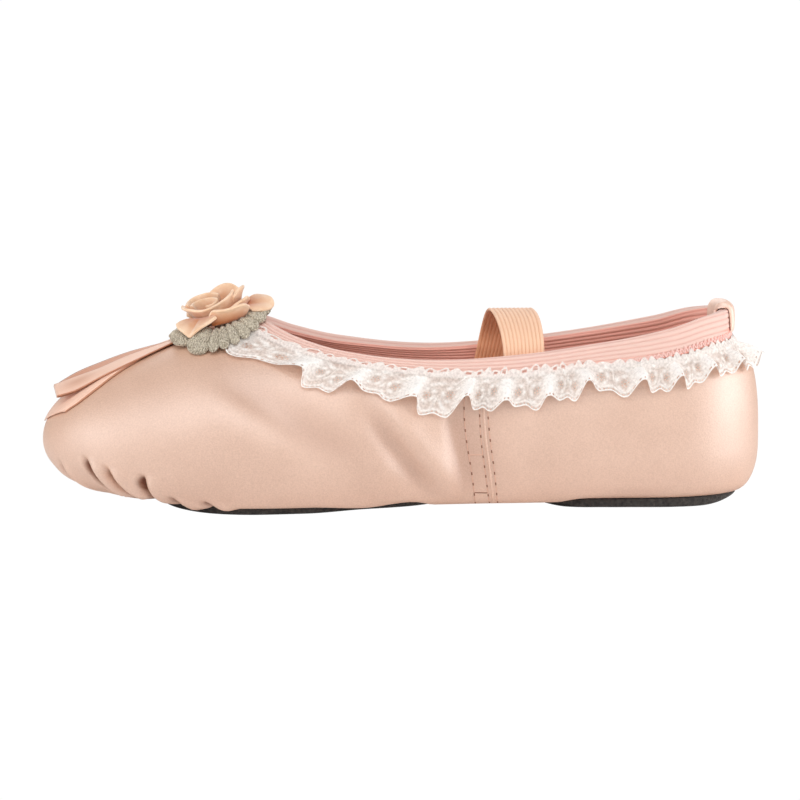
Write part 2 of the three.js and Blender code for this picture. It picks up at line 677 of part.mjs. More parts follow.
function add(name, geometry, material) {
  const mesh = new THREE.Mesh(geometry, material);
  mesh.name = name;
  slipper.add(mesh);
}

add('upper', upper(), satin);
add('forefoot_sole', sole(FOREFOOT_PLAN), soleSuede);
add('heel_sole', sole(HEEL_PLAN), soleSuede);
add('insole', insole(), insoleCloth);
add('collar_binding', binding(), elastic);
add('lace_frill', lace(), laceCotton);
add('instep_strap', strap(), strapElastic);
add('heel_tab', heelTab(), satin);
add('bow_tail_near', bowTail(-1), ribbonSatin);
add('bow_tail_far', bowTail(1), ribbonSatin);
add('bow_loop_near', bowLoop(-1), ribbonSatin);
add('bow_loop_far', bowLoop(1), ribbonSatin);
add('rose_frill', roseFrill(), crochetYarn);
add('rose_core', roseCore(), roseCloth);
PETALS.forEach((row, i) => add(`rose_petal_${i + 1}`, petal(row), roseCloth));

export default slipper;
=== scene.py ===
# %% [markdown]
# # Dressing a satin split-sole ballet slipper
# The frame holds the slipper as plain solids: a hollow upper on a straight last, two sole patches, an insole,
# and the trim sewn on it. This lesson replaces each solid by the cloth that the eye sees: satin with gathers
# under the toe, ribbed elastic, gathered lace, a ribbon bow, and a rolled rose on a crocheted frill.
# The frame comes first, because every piece takes its place from it.

# %% Load the frame
import math

import bpy
import numpy as np
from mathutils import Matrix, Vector


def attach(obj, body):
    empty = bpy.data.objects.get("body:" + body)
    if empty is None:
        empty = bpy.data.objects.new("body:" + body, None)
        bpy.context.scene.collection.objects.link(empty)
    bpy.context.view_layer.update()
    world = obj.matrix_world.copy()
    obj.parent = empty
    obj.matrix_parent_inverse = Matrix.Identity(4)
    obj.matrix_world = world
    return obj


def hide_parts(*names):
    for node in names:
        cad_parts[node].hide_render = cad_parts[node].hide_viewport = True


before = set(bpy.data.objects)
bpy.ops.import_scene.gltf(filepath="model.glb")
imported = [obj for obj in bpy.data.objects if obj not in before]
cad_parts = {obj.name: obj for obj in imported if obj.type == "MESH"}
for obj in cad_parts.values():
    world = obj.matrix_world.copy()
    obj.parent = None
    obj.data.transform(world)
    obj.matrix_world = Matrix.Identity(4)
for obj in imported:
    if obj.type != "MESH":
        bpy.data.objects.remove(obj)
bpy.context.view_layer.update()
MM = 0.001
print("solids in the frame:", len(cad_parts))

# %% [markdown]
# ## The last
# A shoe is made on a last, a solid foot. Four lines run round it: the collar, the widest line, the feather
# edge where the cloth turns under, and the spine underneath. Ribs cross all four. A place on the upper is
# then an angle (0 at the throat, half a turn at centre back, near side first) and a row (0 collar, 1 widest
# line, 2 feather edge, 3 spine). These are the sizes that the solids in the frame were made from, in mm.

# %% Sizes of the last
def table(columns, *rows):
    """The rows of a table as dictionaries, by the names of its columns."""
    return [dict(zip(columns.split(), row)) for row in rows]


LENGTH, VAMP_LENGTH, HEEL_LEAN = 240.6, 72.5, 11
WALL, GAP = 1.4, 0.3
SOLE_THICKNESS, INSOLE_THICKNESS = 3, 1.5
TOE_SPRING, SPRING_X = 1.6, -62
ARCH_SAG, ARCH_X, ARCH_REACH = 1.6, 25, 16.5
BALL_X = -46
TOE_X, BACK_X = -LENGTH / 2, LENGTH / 2
THROAT_X, COLLAR_BACK_X = TOE_X + VAMP_LENGTH, BACK_X - HEEL_LEAN
LAST, COLLAR, FEATHER, FOREFOOT, HEEL = table(
    "front ball waist heel back halves rounds",
    (TOE_X, BALL_X, 35, 84, BACK_X, (40, 31, 30.5), (2.15, 2.3)),
    (THROAT_X, -8, 30, 68, COLLAR_BACK_X, (26, 25.5, 23.5), (2, 2.2)),
    (-97, BALL_X, 30, 80, 113.5, (35, 24.5, 25.5), (2.1, 2.3)),
    (-81, BALL_X - 3, -34, -12, 14, (34, 33, 29), (2.1, 3.2)),
    (39.5, 62, 72, 84, 113, (25, 25.5, 26), (2.2, 2.3)),
)
COLLAR_HEIGHTS = ((THROAT_X, 61), (-36, 55.8), (-20, 51.6), (8, 48.7), (38, 50.1),
                  (66, 53.8), (88, 58), (99, 61.2), (COLLAR_BACK_X, 63))
WIDE_HEIGHTS = ((TOE_X, 21), (BALL_X, 17), (35, 19), (BACK_X, 18.5))
TOE_FAN, FEATHER_FAN, HEEL_FAN, CUFF_FAN = 0.62, 0.45, 0.4, 0.32
TOE_BULGE, SIDE_BULGE, HEEL_BULGE = 2.15, 2, 3.1
CUFF_TOP, CUFF_FOOT = 0.13, 0.44
SPINE_FRONT, SPINE_BACK = -58, 88
print("length", LENGTH, "ball width", 2 * LAST["halves"][0], "heel height", COLLAR_HEIGHTS[-1][1])

# %% Shares, bumps and windows
def mix(a, b, share):
    return a + (b - a) * share


def smooth(value, low, high):
    share = np.clip((value - low) / (high - low), 0, 1)
    return share * share * (3 - 2 * share)


def window(value, rise, full, fall, end):
    """1 from full to fall, with smooth slopes down to 0 on both sides."""
    return smooth(value, rise, full) * (1 - smooth(value, fall, end))


def fade(distance, reach):
    """A bump of height 1 that falls smoothly to 0 at its reach."""
    return np.cos(np.pi * np.minimum(np.abs(distance) / reach, 1) / 2) ** 2


def bell(distance, reach):
    """A bump of height 1 that falls to about a third at its reach and fades out beyond it."""
    return np.exp(-(distance / reach) ** 2)


print("halfway up a slope:", float(smooth(0.5, 0, 1)), "a bell at its reach:", round(float(bell(1, 1)), 2))

# %% Outlines and heights
def half_width(plan, x):
    """Half the width of a plan outline, which is round in front and behind."""
    ball, waist, heel = plan["halves"]
    front_round, back_round = plan["rounds"]
    front_share = np.clip((plan["ball"] - x) / (plan["ball"] - plan["front"]), 0, 1)
    back_share = np.clip((x - plan["heel"]) / (plan["back"] - plan["heel"]), 0, 1)
    front = ball * (1 - front_share ** front_round) ** (1 / front_round)
    back = heel * (1 - back_share ** back_round) ** (1 / back_round)
    waisted = mix(ball, waist, smooth(x, plan["ball"], plan["waist"]))
    heeled = mix(waist, heel, smooth(x, plan["waist"], plan["heel"]))
    middle = np.where(x <= plan["waist"], waisted, heeled)
    return np.where(x <= plan["ball"], front, np.where(x >= plan["heel"], back, middle))


def height_at(rows, x):
    """Smooth height through the rows of a table of places and heights."""
    places, heights = np.array(rows, float).T
    slopes = np.empty(len(places))
    slopes[1:-1] = (heights[2:] - heights[:-2]) / (places[2:] - places[:-2])
    slopes[0] = (heights[1] - heights[0]) / (places[1] - places[0])
    slopes[-1] = (heights[-1] - heights[-2]) / (places[-1] - places[-2])
    i = np.clip(np.searchsorted(places, x, side="right") - 1, 0, len(places) - 2)
    span = places[i + 1] - places[i]
    s = np.clip((x - places[i]) / span, 0, 1)
    pull = span * s * (1 - s) * ((1 - s) * slopes[i] - s * slopes[i + 1])
    return mix(heights[i], heights[i + 1], s * s * (3 - 2 * s)) + pull


def spring_at(x):
    return TOE_SPRING * (np.maximum(0, SPRING_X - x) / (SPRING_X - FEATHER["front"])) ** 2


def underside_at(x):
    return spring_at(x) + SOLE_THICKNESS + GAP - ARCH_SAG * fade(x - ARCH_X, ARCH_REACH)


print("collar half width at the waist:", float(half_width(COLLAR, np.array(30.0))))

# %% Ribs of the last
TURN = 2 * np.pi
SMALL = 0.004  # a step of angle or row, to measure slopes with
SIDES = {"near": -1, "far": 1}


def on_side(angle, side):
    """An angle of the near side as it is, or mirrored to the far side."""
    return angle if side < 0 else TURN - angle


def alike(*values):
    """Numbers and arrays as arrays of one shape."""
    return np.broadcast_arrays(*(np.asarray(value, float) for value in values))


def rib_lines(angle):
    """The collar, widest line, feather edge and spine of each rib, its bulge and how upright its cuff is."""
    a = np.mod(angle, TURN)
    turn = np.where(a <= np.pi, a, TURN - a) / np.pi
    side = np.where(a <= np.pi, -1, 1)
    way = (1 - np.cos(a)) / 2
    toe, heel = fade(turn, TOE_FAN), fade(1 - turn, HEEL_FAN)
    collar_x = mix(THROAT_X, COLLAR_BACK_X, way)
    wide_x = collar_x - VAMP_LENGTH * toe + HEEL_LEAN * heel
    feather_x = wide_x + (FEATHER["front"] - TOE_X) * fade(turn, FEATHER_FAN)
    feather_x = feather_x - (BACK_X - FEATHER["back"]) * heel
    spine_x = mix(SPINE_FRONT, SPINE_BACK, way)
    collar_y, wide_y = side * half_width(COLLAR, collar_x), side * half_width(LAST, wide_x)
    collar = np.stack([collar_x, collar_y, height_at(COLLAR_HEIGHTS, collar_x)], -1)
    wide = np.stack([wide_x, wide_y, height_at(WIDE_HEIGHTS, wide_x)], -1)
    feather = np.stack([feather_x, side * half_width(FEATHER, feather_x), underside_at(feather_x)], -1)
    spine = np.stack([spine_x, 0 * spine_x, underside_at(spine_x)], -1)
    bulge = SIDE_BULGE + (TOE_BULGE - SIDE_BULGE) * toe + (HEEL_BULGE - SIDE_BULGE) * heel
    return collar, wide, feather, spine, bulge, fade(1 - turn, CUFF_FAN)


print("the throat's rib starts at", rib_lines(0.0)[0].round(1))

# %% Places on the upper
def last_point(angle, row):
    """The place on the last, before any fold or gather of the cloth."""
    angle, row = alike(angle, row)
    collar, wide, feather, spine, bulge, cuff = rib_lines(angle)
    reach = mix(1, smooth(row, CUFF_TOP, CUFF_FOOT), cuff) * (1 - np.maximum(1 - row, 0) ** bulge)
    wall = mix(collar, wide, reach[..., None])
    wall[..., 2] = mix(collar[..., 2], wide[..., 2], row)
    bend = np.clip(row - 1, 0, 1) * np.pi / 2
    turned = mix(wide, feather, (1 - np.cos(bend))[..., None])
    turned[..., 2] = mix(wide[..., 2], feather[..., 2], np.sin(bend))
    under = mix(feather, spine, row[..., None] - 2)
    under[..., 2] = underside_at(under[..., 0])
    band = row[..., None]
    return np.where(band <= 1, wall, np.where(band <= 2, turned, under))


def last_normal(angle, row):
    """The outward direction, and how many millimetres a radian of angle spans here."""
    angle, row = alike(angle, row)
    down = last_point(angle, row + SMALL) - last_point(angle, row - SMALL)
    across = last_point(angle + SMALL, row) - last_point(angle - SMALL, row)
    normal = np.cross(down, across)
    normal /= np.maximum(np.linalg.norm(normal, axis=-1, keepdims=True), 1e-12)
    normal[row >= 2] = (0, 0, -1)
    return normal, np.linalg.norm(across, axis=-1) / (2 * SMALL)


def last_offset(angle, row, offset):
    return last_point(angle, row) + last_normal(angle, row)[0] * np.asarray(offset)[..., None]


print("toe tip at", last_point(0.0, 1.0).round(1), "centre back at", last_point(np.pi, 1.0).round(1))

# %% Places beside the collar
RIB_STEPS = 240
table_angles = np.linspace(0, TURN, 1441)
table_distances = np.linspace(0, 40, 161)


def rows_at_distances():
    """For each rib of the table, the rows at the table's distances down the wall from the cut edge."""
    rows = np.linspace(0, 1.6, RIB_STEPS)
    line = last_point(table_angles[:, None], rows[None, :])
    gone = np.cumsum(np.linalg.norm(np.diff(line, axis=1), axis=2), axis=1)
    return np.array([np.interp(table_distances, np.concatenate([[0], rib]), rows) for rib in gone])


row_table = rows_at_distances()


def row_down(angle, distance):
    """The row a distance down the wall, between the nearest ribs and distances of the table."""
    a = np.mod(angle, TURN) / table_angles[1]
    d = np.clip(distance, 0, table_distances[-1]) / table_distances[1]
    i = np.minimum(a.astype(int), len(table_angles) - 2)
    j = np.minimum(d.astype(int), len(table_distances) - 2)
    low = mix(row_table[i, j], row_table[i, j + 1], d - j)
    high = mix(row_table[i + 1, j], row_table[i + 1, j + 1], d - j)
    return mix(low, high, a - i)


def beside_collar(angle, distance, offset):
    """A point a distance down the wall from the cut edge, or above it if negative, and an offset out."""
    angle, distance, offset = np.atleast_1d(*alike(angle, distance, offset))
    row = row_down(angle, np.maximum(distance, 0))
    up = last_point(angle, 0.0) - last_point(angle, SMALL)
    up /= np.linalg.norm(up, axis=-1, keepdims=True)
    return last_offset(angle, row, offset) + up * np.maximum(-distance, 0)[:, None]


print("10 mm down from the throat:", beside_collar(0, 10, 0).round(1))

# %% Places over the vamp
HALVINGS = 40


def over_vamp(x, y, offset):
    """The point over a plan position on the vamp, found on the rib that passes over it."""
    x, y, offset = np.atleast_1d(*alike(x, y, offset))
    spot = np.stack([x, np.abs(y)], -1)
    low, high = np.zeros(x.shape), np.full(x.shape, np.pi / 2)

    def rib_from(angle):
        collar, wide, *_, bulge, _ = rib_lines(angle)
        start = collar[:, :2] * (1, -1)
        return spot - start, wide[:, :2] * (1, -1) - start, bulge

    for _ in range(HALVINGS):
        middle = (low + high) / 2
        away, way, _ = rib_from(middle)
        ahead = way[:, 0] * away[:, 1] - way[:, 1] * away[:, 0] < 0
        low, high = np.where(ahead, middle, low), np.where(ahead, high, middle)
    away, way, bulge = rib_from(low)
    reach = (away * way).sum(axis=1) / (way ** 2).sum(axis=1)
    row = 1 - (1 - np.clip(reach, -0.3, 1)) ** (1 / bulge)
    return last_offset(np.where(y > 0, TURN - low, low), row, offset)


print("on the vamp under the rose:", over_vamp(-60, 0, 0).round(1))

# %% [markdown]
# ## Camera, floor and light
# The slipper is seen from its near side, a little towards the toe and from just above. A long lens at 0.9 m
# keeps it flat. The floor is a plain white sweep. A pale surround and six soft boxes, the strongest from above
# and from the heel's side, give satin the wide, gentle highlights that tell it from leather.

# %% Camera
AZIMUTH, ELEVATION = math.radians(-3.0), math.radians(7.5)
CAMERA_DISTANCE = 0.9
CAMERA_TARGET = Vector((-0.00065, 0, 0.033))
PICTURE_WIDTH = 0.2693  # metres seen across the picture at the target
level = math.cos(ELEVATION)
back = Vector((math.sin(AZIMUTH) * level, -math.cos(AZIMUTH) * level, math.sin(ELEVATION)))
bpy.ops.object.camera_add(location=CAMERA_TARGET + back * CAMERA_DISTANCE)
camera = bpy.context.object
camera.rotation_euler = (-back).to_track_quat("-Z", "Y").to_euler()
camera.data.sensor_width = 36
camera.data.lens = camera.data.sensor_width * CAMERA_DISTANCE / PICTURE_WIDTH
bpy.context.scene.camera = camera
print("camera at", tuple(round(v, 3) for v in camera.location), "lens", round(camera.data.lens, 1))

# %% Colours and nodes
def hex_colour(code):
    """A linear colour with full alpha from an sRGB hex value."""
    parts = [int(code[i:i + 2], 16) / 255 for i in (1, 3, 5)]
    linear = [p / 12.92 if p <= 0.04045 else ((p + 0.055) / 1.055) ** 2.4 for p in parts]
    return (*linear, 1.0)


def add_node(tree, kind, inputs=None, **settings):
    """Adds one node, sets its options, and gives its inputs values or links them to another node's output."""
    made = tree.nodes.new(kind)
    for name, value in settings.items():
        setattr(made, name, value)
    for name, value in (inputs or {}).items():
        if isinstance(value, bpy.types.NodeSocket):
            tree.links.new(value, made.inputs[name])
        else:
            made.inputs[name].default_value = value
    return made


def new_material(name):
    material = bpy.data.materials.new(name)
    material.use_nodes = True
    material.node_tree.nodes.clear()
    return material, material.node_tree


def finish_material(material, shader):
    add_node(material.node_tree, "ShaderNodeOutputMaterial", {"Surface": shader.outputs[0]})
    return material


print("mid grey in linear light:", round(hex_colour("#808080")[0], 3))

# %% Parts that the finishes share
def reckon(tree, operation, *values, **settings):
    """One step of arithmetic with node outputs and numbers."""
    made = add_node(tree, "ShaderNodeMath", dict(enumerate(values)), operation=operation, **settings)
    return made.outputs[0]


def grain_of(tree, size, detail=2.0):
    """Noise that stays on the piece, in patches of about this size in metres."""
    place = add_node(tree, "ShaderNodeTexCoord").outputs["Object"]
    made = add_node(tree, "ShaderNodeTexNoise", {"Vector": place, "Scale": 1 / size, "Detail": detail})
    return made.outputs[0]


def cloth_map(tree):
    """Outputs X and Y: the share of the way across and along the flat cloth."""
    flat = add_node(tree, "ShaderNodeUVMap").outputs["UV"]
    return add_node(tree, "ShaderNodeSeparateXYZ", {"Vector": flat}).outputs


def painted(tree, name):
    """A value that was written to the points of the mesh."""
    return add_node(tree, "ShaderNodeAttribute", attribute_name=name).outputs["Fac"]


def blend(tree, share, first, second):
    """The first colour at share 0 and the second at share 1. Each is a hex value or a node's output."""
    first, second = (hex_colour(tone) if isinstance(tone, str) else tone for tone in (first, second))
    return add_node(tree, "ShaderNodeMix", {0: share, 6: first, 7: second}, data_type="RGBA").outputs[2]


def two_tones(tree, value, shade, light, start=0.0, end=1.0):
    """A ramp of two hex colours, which a value runs through from start to end."""
    made = add_node(tree, "ShaderNodeValToRGB", {"Fac": value})
    for stop, position, code in zip(made.color_ramp.elements, (start, end), (shade, light)):
        stop.position = position
        stop.color = hex_colour(code)
    return made.outputs["Color"]


def bumps(tree, height, strength, distance):
    made = add_node(tree, "ShaderNodeBump", {"Height": height, "Strength": strength, "Distance": distance})
    return made.outputs[0]


print("ready to mix finishes")

# %% Floor and surround
FLOOR_SIZE = 24.0
FLOOR_DROP = 0.0002  # the floor lies just under the soles
AMBIENT = 0.30
PAPER_BRIGHT = 1.02  # the camera sees the sweep as plain white
WHITE = hex_colour("#FFFFFF")


def seen_apart(tree, lit, seen):
    """One shader for the light in the scene and another for what the camera sees."""
    path = add_node(tree, "ShaderNodeLightPath")
    return add_node(tree, "ShaderNodeMixShader", {
        0: path.outputs["Is Camera Ray"], 1: lit.outputs[0], 2: seen.outputs[0]})


bpy.ops.object.select_all(action="DESELECT")
bpy.ops.mesh.primitive_plane_add(size=FLOOR_SIZE, location=(0, 0, -FLOOR_DROP))
floor = bpy.context.object
floor.name = "floor"
paper, paper_tree = new_material("white paper sweep")
paper_matt = add_node(paper_tree, "ShaderNodeBsdfDiffuse", {"Color": hex_colour("#F8F8F8")})
paper_seen = add_node(paper_tree, "ShaderNodeEmission", {"Color": WHITE, "Strength": PAPER_BRIGHT})
floor.data.materials.append(finish_material(paper, seen_apart(paper_tree, paper_matt, paper_seen)))
world = bpy.data.worlds.new("pale surround")
bpy.context.scene.world = world
world.use_nodes = True
air = world.node_tree
air.nodes.clear()
air_lit, air_seen = (add_node(air, "ShaderNodeBackground", {"Color": WHITE, "Strength": strength})
                     for strength in (AMBIENT, PAPER_BRIGHT))
add_node(air, "ShaderNodeOutputWorld", {"Surface": seen_apart(air, air_lit, air_seen).outputs[0]})
bpy.context.scene.view_settings.view_transform = "Standard"
print("floor", FLOOR_SIZE, "m across, surround", AMBIENT)

# %% Soft boxes
SOFT_BOXES = table(
    "name place aim power size",
    ("key", (-0.60, -0.23, 0.22), (-0.06, 0, 0.03), 1.15, (0.36, 0.42)),
    ("front", (-0.10, -0.66, 0.26), (-0.02, 0, 0.03), 0.6, (0.80, 0.30)),
    ("right front", (0.58, -0.22, 0.12), (0.08, 0, 0.03), 2.0, (0.28, 0.44)),
    ("right", (0.62, 0.08, 0.12), (0.11, 0, 0.03), 0.6, (0.20, 0.40)),
    ("top", (-0.14, -0.44, 0.62), (-0.02, 0, 0.03), 2.75, (0.80, 0.50)),
    ("back", (0.00, 0.60, 0.44), (0, 0, 0.03), 1.5, (0.60, 0.40)),
)
for box in SOFT_BOXES:
    bpy.ops.object.light_add(type="AREA", location=box["place"])
    lamp = bpy.context.object
    lamp.name = box["name"]
    lamp.rotation_euler = (Vector(box["aim"]) - Vector(box["place"])).to_track_quat("-Z", "Y").to_euler()
    lamp.data.shape = "RECTANGLE"
    lamp.data.size, lamp.data.size_y = box["size"]
    lamp.data.energy = box["power"]
print("soft boxes:", [box["name"] for box in SOFT_BOXES])

# %% [markdown]
# ## How a soft piece is made
# Sewn cloth has no flat faces to extrude, so each piece starts as a grid primitive, and its points are laid
# on the last by a small function, as a maker lays cloth. A grid that goes all the way round has its edges
# merged.

# %% Laying a grid and closing its seams
def points_of(piece):
    """The places of a mesh's points, in metres."""
    places = np.empty(3 * len(piece.data.vertices))
    piece.data.vertices.foreach_get("co", places)
    return places.reshape(-1, 3)


def laid_grid(name, columns, rows, place):
    """A grid whose points go where place(across, along) says, in millimetres. Gives the flat points too."""
    bpy.ops.object.select_all(action="DESELECT")
    bpy.ops.mesh.primitive_grid_add(x_subdivisions=columns, y_subdivisions=rows, size=1)
    piece = bpy.context.object
    piece.name = name
    piece.data.name = name
    flat = np.clip(points_of(piece)[:, :2] + 0.5, 0, 1)
    piece.data.vertices.foreach_set("co", (place(flat[:, 0], flat[:, 1]) * MM).ravel())
    piece.data.update()
    return piece, flat


def close_seams(piece, capped=False):
    """Merges the points that meet, caps open ends if asked to, and turns the faces out."""
    bpy.context.view_layer.objects.active = piece
    bpy.ops.object.mode_set(mode="EDIT")
    bpy.ops.mesh.select_all(action="SELECT")
    bpy.ops.mesh.remove_doubles(threshold=0.00001)
    if capped:
        bpy.ops.mesh.fill_holes(sides=0)
    bpy.ops.mesh.normals_make_consistent(inside=False)
    bpy.ops.object.mode_set(mode="OBJECT")


def apply_modifier(piece, name, kind, **settings):
    bpy.context.view_layer.objects.active = piece
    modifier = piece.modifiers.new(name, kind)
    for key, value in settings.items():
        setattr(modifier, key, value)
    bpy.ops.object.modifier_apply(modifier=name)


print("ready to lay cloth")

# %% Values on points and faces, and dressing a piece
def face_means(piece, values):
    """The mean of the points' values over each four-cornered face."""
    corners = np.empty(len(piece.data.loops), int)
    piece.data.loops.foreach_get("vertex_index", corners)
    return values[corners.reshape(-1, 4)].mean(axis=1)


def paint(piece, name, values):
    """Writes a value to each point, which a finish can read."""
    piece.data.attributes.new(name, "FLOAT", "POINT").data.foreach_set("value", values)


def two_faced(piece, face, reverse, is_reverse):
    """Gives the two sides of a cloth a finish each."""
    piece.data.materials.append(face)
    piece.data.materials.append(reverse)
    piece.data.polygons.foreach_set("material_index", is_reverse.astype(int))


def area_of(piece):
    return sum(polygon.area for polygon in piece.data.polygons) / MM ** 2


def dress(piece, material, slot, *nodes):
    """Gives a piece its finish and its place in the frame, and smooths its shading."""
    if not piece.data.materials:
        piece.data.materials.append(material)
    piece.data.polygons.foreach_set("use_smooth", np.ones(len(piece.data.polygons), bool))
    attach(piece, "root")
    if nodes:
        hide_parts(*nodes)
    print(piece.name, len(piece.data.polygons), "faces")


print("ready to dress pieces")

# %% [markdown]
# ## Satin
# Polyester satin has long floats of smooth thread on its face, so it is softly shiny, with broad highlights
# and a fine grain. The colour drifts a little, and the weave is too fine to show, so it is drawn as a grain
# of half a millimetre. The lining's threads are drawn coarser too, a millimetre wide.

# %% Satin finish
SATIN_GRAIN, SATIN_DRIFT = 0.0005, 0.022
GRAIN_SHARE = 0.6  # how much of the change in colour is grain. The rest is drift
# Painted shade: in the troughs of the gathers and along some folds, the satin's colour darkens towards this
# and its gloss is dulled.
PAINTED_SHADE_COLOUR = "#70341D"  # in a gather


def satin(name, light, shade):
    """Woven satin: a broad soft gloss, a faint grain, colour that drifts, and painted shade that darkens it
    and dulls its gloss in gathers and folds.
    """
    material, tree = new_material(name)
    grain = grain_of(tree, SATIN_GRAIN)
    speck = reckon(tree, "MULTIPLY", grain, GRAIN_SHARE)
    tone = reckon(tree, "MULTIPLY_ADD", grain_of(tree, SATIN_DRIFT), 1 - GRAIN_SHARE, speck)
    cloth = two_tones(tree, tone, shade, light, 0.35, 0.65)
    painted_shade = painted(tree, "painted_shade")
    shader = add_node(tree, "ShaderNodeBsdfPrincipled", {
        "Base Color": blend(tree, painted_shade, cloth, PAINTED_SHADE_COLOUR), "Roughness": 0.5, "IOR": 2.0,
        "Specular IOR Level": reckon(tree, "MULTIPLY_ADD", painted_shade, -1.0, 1.0),
        "Coat Weight": 0.3, "Coat Roughness": 0.5, "Coat IOR": 1.6,
        "Normal": bumps(tree, grain, 0.5, 0.00016),
    })
    return finish_material(material, shader)


satin_cloth = satin("polyester satin", "#E0B499", "#CC9D80")
print("made", satin_cloth.name)

# %% Plain cotton
COARSE_THREAD = 0.001


def plain_cloth(name, light, shade, thread):
    """Matt plain-woven cotton: two sets of threads that show as a fine check of light and shade."""
    material, tree = new_material(name)
    place = add_node(tree, "ShaderNodeTexCoord").outputs["Object"]
    inputs = {"Vector": place, "Scale": 1 / (TURN * thread)}
    warp, weft = (add_node(tree, "ShaderNodeTexWave", inputs, bands_direction=way).outputs["Fac"]
                  for way in ("X", "Y"))
    weave = reckon(tree, "MULTIPLY", warp, weft)
    shader = add_node(tree, "ShaderNodeBsdfPrincipled", {
        "Base Color": two_tones(tree, weave, shade, light), "Roughness": 0.85, "Specular IOR Level": 0.2,
        "Normal": bumps(tree, weave, 0.4, 0.0002),
    })
    return finish_material(material, shader)


lining_cloth = plain_cloth("cotton lining", "#E6C5B8", "#DCB7A9", COARSE_THREAD)
print("made", lining_cloth.name)

# %% [markdown]
# ## Folds of the upper
# The satin is gathered round the toe and sewn to the sole patch, so sharp troughs run up from the feather
# edge along the ribs, with soft puffs between them. On the vamp and the quarter, broad soft folds slant down
# towards the arch, where the empty shoe slackens. Each is a row of a table: troughs and ridges of the shoe's
# own size.

# %% Gathers
PLEATS = table(
    "rows angles half deep held",
    ((1.25, 1.5, 2.0), (0.10, 0.095, 0.09), 1.0, 0.8, 1.9),
    ((1.15, 1.5, 2.0), (0.256, 0.252, 0.25), 0.8, 2.8, 1.9),
    ((1.03, 1.25, 1.54, 1.72, 2.0), (0.424, 0.442, 0.465, 0.510, 0.530), 0.9, 4.6, 1.9),
    ((1.12, 1.33, 1.55, 1.71, 2.0), (0.510, 0.521, 0.534, 0.558, 0.572), 0.9, 4.6, 1.9),
    ((1.18, 1.37, 1.56, 1.80, 2.0), (0.650, 0.634, 0.620, 0.604, 0.600), 1.0, 4.5, 1.9),
    ((1.58, 1.77, 2.0), (0.690, 0.683, 0.680), 1.1, 3.4, 2.25),
    ((1.64, 1.85, 2.0), (0.790, 0.796, 0.80), 1.3, 3.0, 2.25),
)
PLEAT_START, PLEAT_END = 0.22, (2.1, 2.6)  # rows in which a trough deepens, and fades out under the sole
TOE_SLOPE, HEEL_SLOPE = 1.5, 0.6  # a trough falls slowly from the toe side and rises steeply
PUFF = 0.34  # the cloth beside a trough swells by this share of its depth, more on the side towards the heel
PUFF_AT, PUFF_REACH = 2.8, 1.7  # in half widths of the trough
FAR_PLEATS = (0.96, 0.02)


def pleat_turn(turn, near):
    """The far side's gathers lie a little apart from the near side's."""
    return np.where(near, turn, FAR_PLEATS[0] * turn + FAR_PLEATS[1])


def pleat_relief(turn, row, span, wide=1.0):
    """Sharp troughs with soft puffs beside them. The puffs end where the cloth is held down."""
    relief = np.zeros(row.shape)
    for pleat in PLEATS:
        head, held = pleat["rows"][0], pleat["held"]
        across = (turn - np.interp(row, pleat["rows"], pleat["angles"])) * span / (wide * pleat["half"])
        slope = np.where(across < 0, np.abs(across) / TOE_SLOPE, across / HEEL_SLOPE)
        deep = pleat["deep"] * window(row, head, head + PLEAT_START, *PLEAT_END)
        share = np.where(across > 0, PUFF, 0.5 * PUFF) * (1 - smooth(row, held - 0.4, held))
        relief += deep * (share * bell(np.abs(across) - PUFF_AT, PUFF_REACH) - np.exp(-slope ** 1.3))
    return relief


print("gathers on each side:", len(PLEATS))

# %% Folds
# The shade column is painted shade: it darkens the satin's colour along a fold's trough.
FOLDS = table(
    "x z to_x to_z left right high shade",
    (-72, 42, -30, 13, 9.0, 9.0, 1.2, 0),
    (-64, 47.5, -13, 15.8, 5.2, 7.5, -1.6, 0.22),
    (-26, 35, -3, 7, 5.5, 4.6, 0.7, 0),
    (-15.5, 38, 9.5, 4, 4.0, 3.2, -2.0, 0.2),
    (-9.5, 37, 17.5, 4, 4.6, 5.4, 2.2, 0),
    (13, 38, 20, 3, 2.8, 11.0, -1.8, 0.3),
    (34, 36, 40, 10, 6.0, 6.0, -0.5, 0),
    (63, 60, 63, 2, 28.0, 28.0, 2.2, 0),
)
FOLD_LENGTH = (-0.1, 0.35, 0.7, 1.1)  # where along its line a fold rises and falls
FOLD_ROWS = (0.12, 0.4, 1.45, 1.85)  # folds stay between the collar and the feather edge
FAR_FOLDS = (0.95, 4)


def fold_x(x, near):
    """The far side's folds lie a little apart from the near side's."""
    return np.where(near, x, FAR_FOLDS[0] * x + FAR_FOLDS[1])


def fold_sum(x, z, column):
    """Adds up a column of the folds at a place: how high they stand, or how much painted shade lies along
    them.
    """
    total = np.zeros(x.shape)
    for fold in FOLDS:
        way_x, way_z = fold["to_x"] - fold["x"], fold["to_z"] - fold["z"]
        length = math.hypot(way_x, way_z)
        along = ((x - fold["x"]) * way_x + (z - fold["z"]) * way_z) / length ** 2
        across = ((x - fold["x"]) * way_z - (z - fold["z"]) * way_x) / length
        half = np.where(across < 0, fold["right"], fold["left"])
        total += fold[column] * window(along, *FOLD_LENGTH) * bell(across, half)
    return total


print("folds on each side:", len(FOLDS))

# %% The slack arch, and places on the satin
SLACK, SLACK_REACH = 1.6, 55  # how far the cloth hangs beside and between the sole patches
SLACK_ROWS = (1.3, 1.95)
BALL_HANG = 0.9  # how far it hangs over the side of the forefoot patch
HANG_ROWS, HANG_X = (1.6, 1.95, 2.0, 2.06), (-76, -66, -12, 8)


def beside_patch(plan, x, y):
    """0 on a sole patch, 1 where the cloth is a few millimetres outside it."""
    outside = smooth(np.abs(y) - half_width(plan, x), 0.4, 3.5)
    past = smooth(np.maximum(plan["front"] - x, x - plan["back"]), 0.2, 4)
    return np.maximum(outside, past)


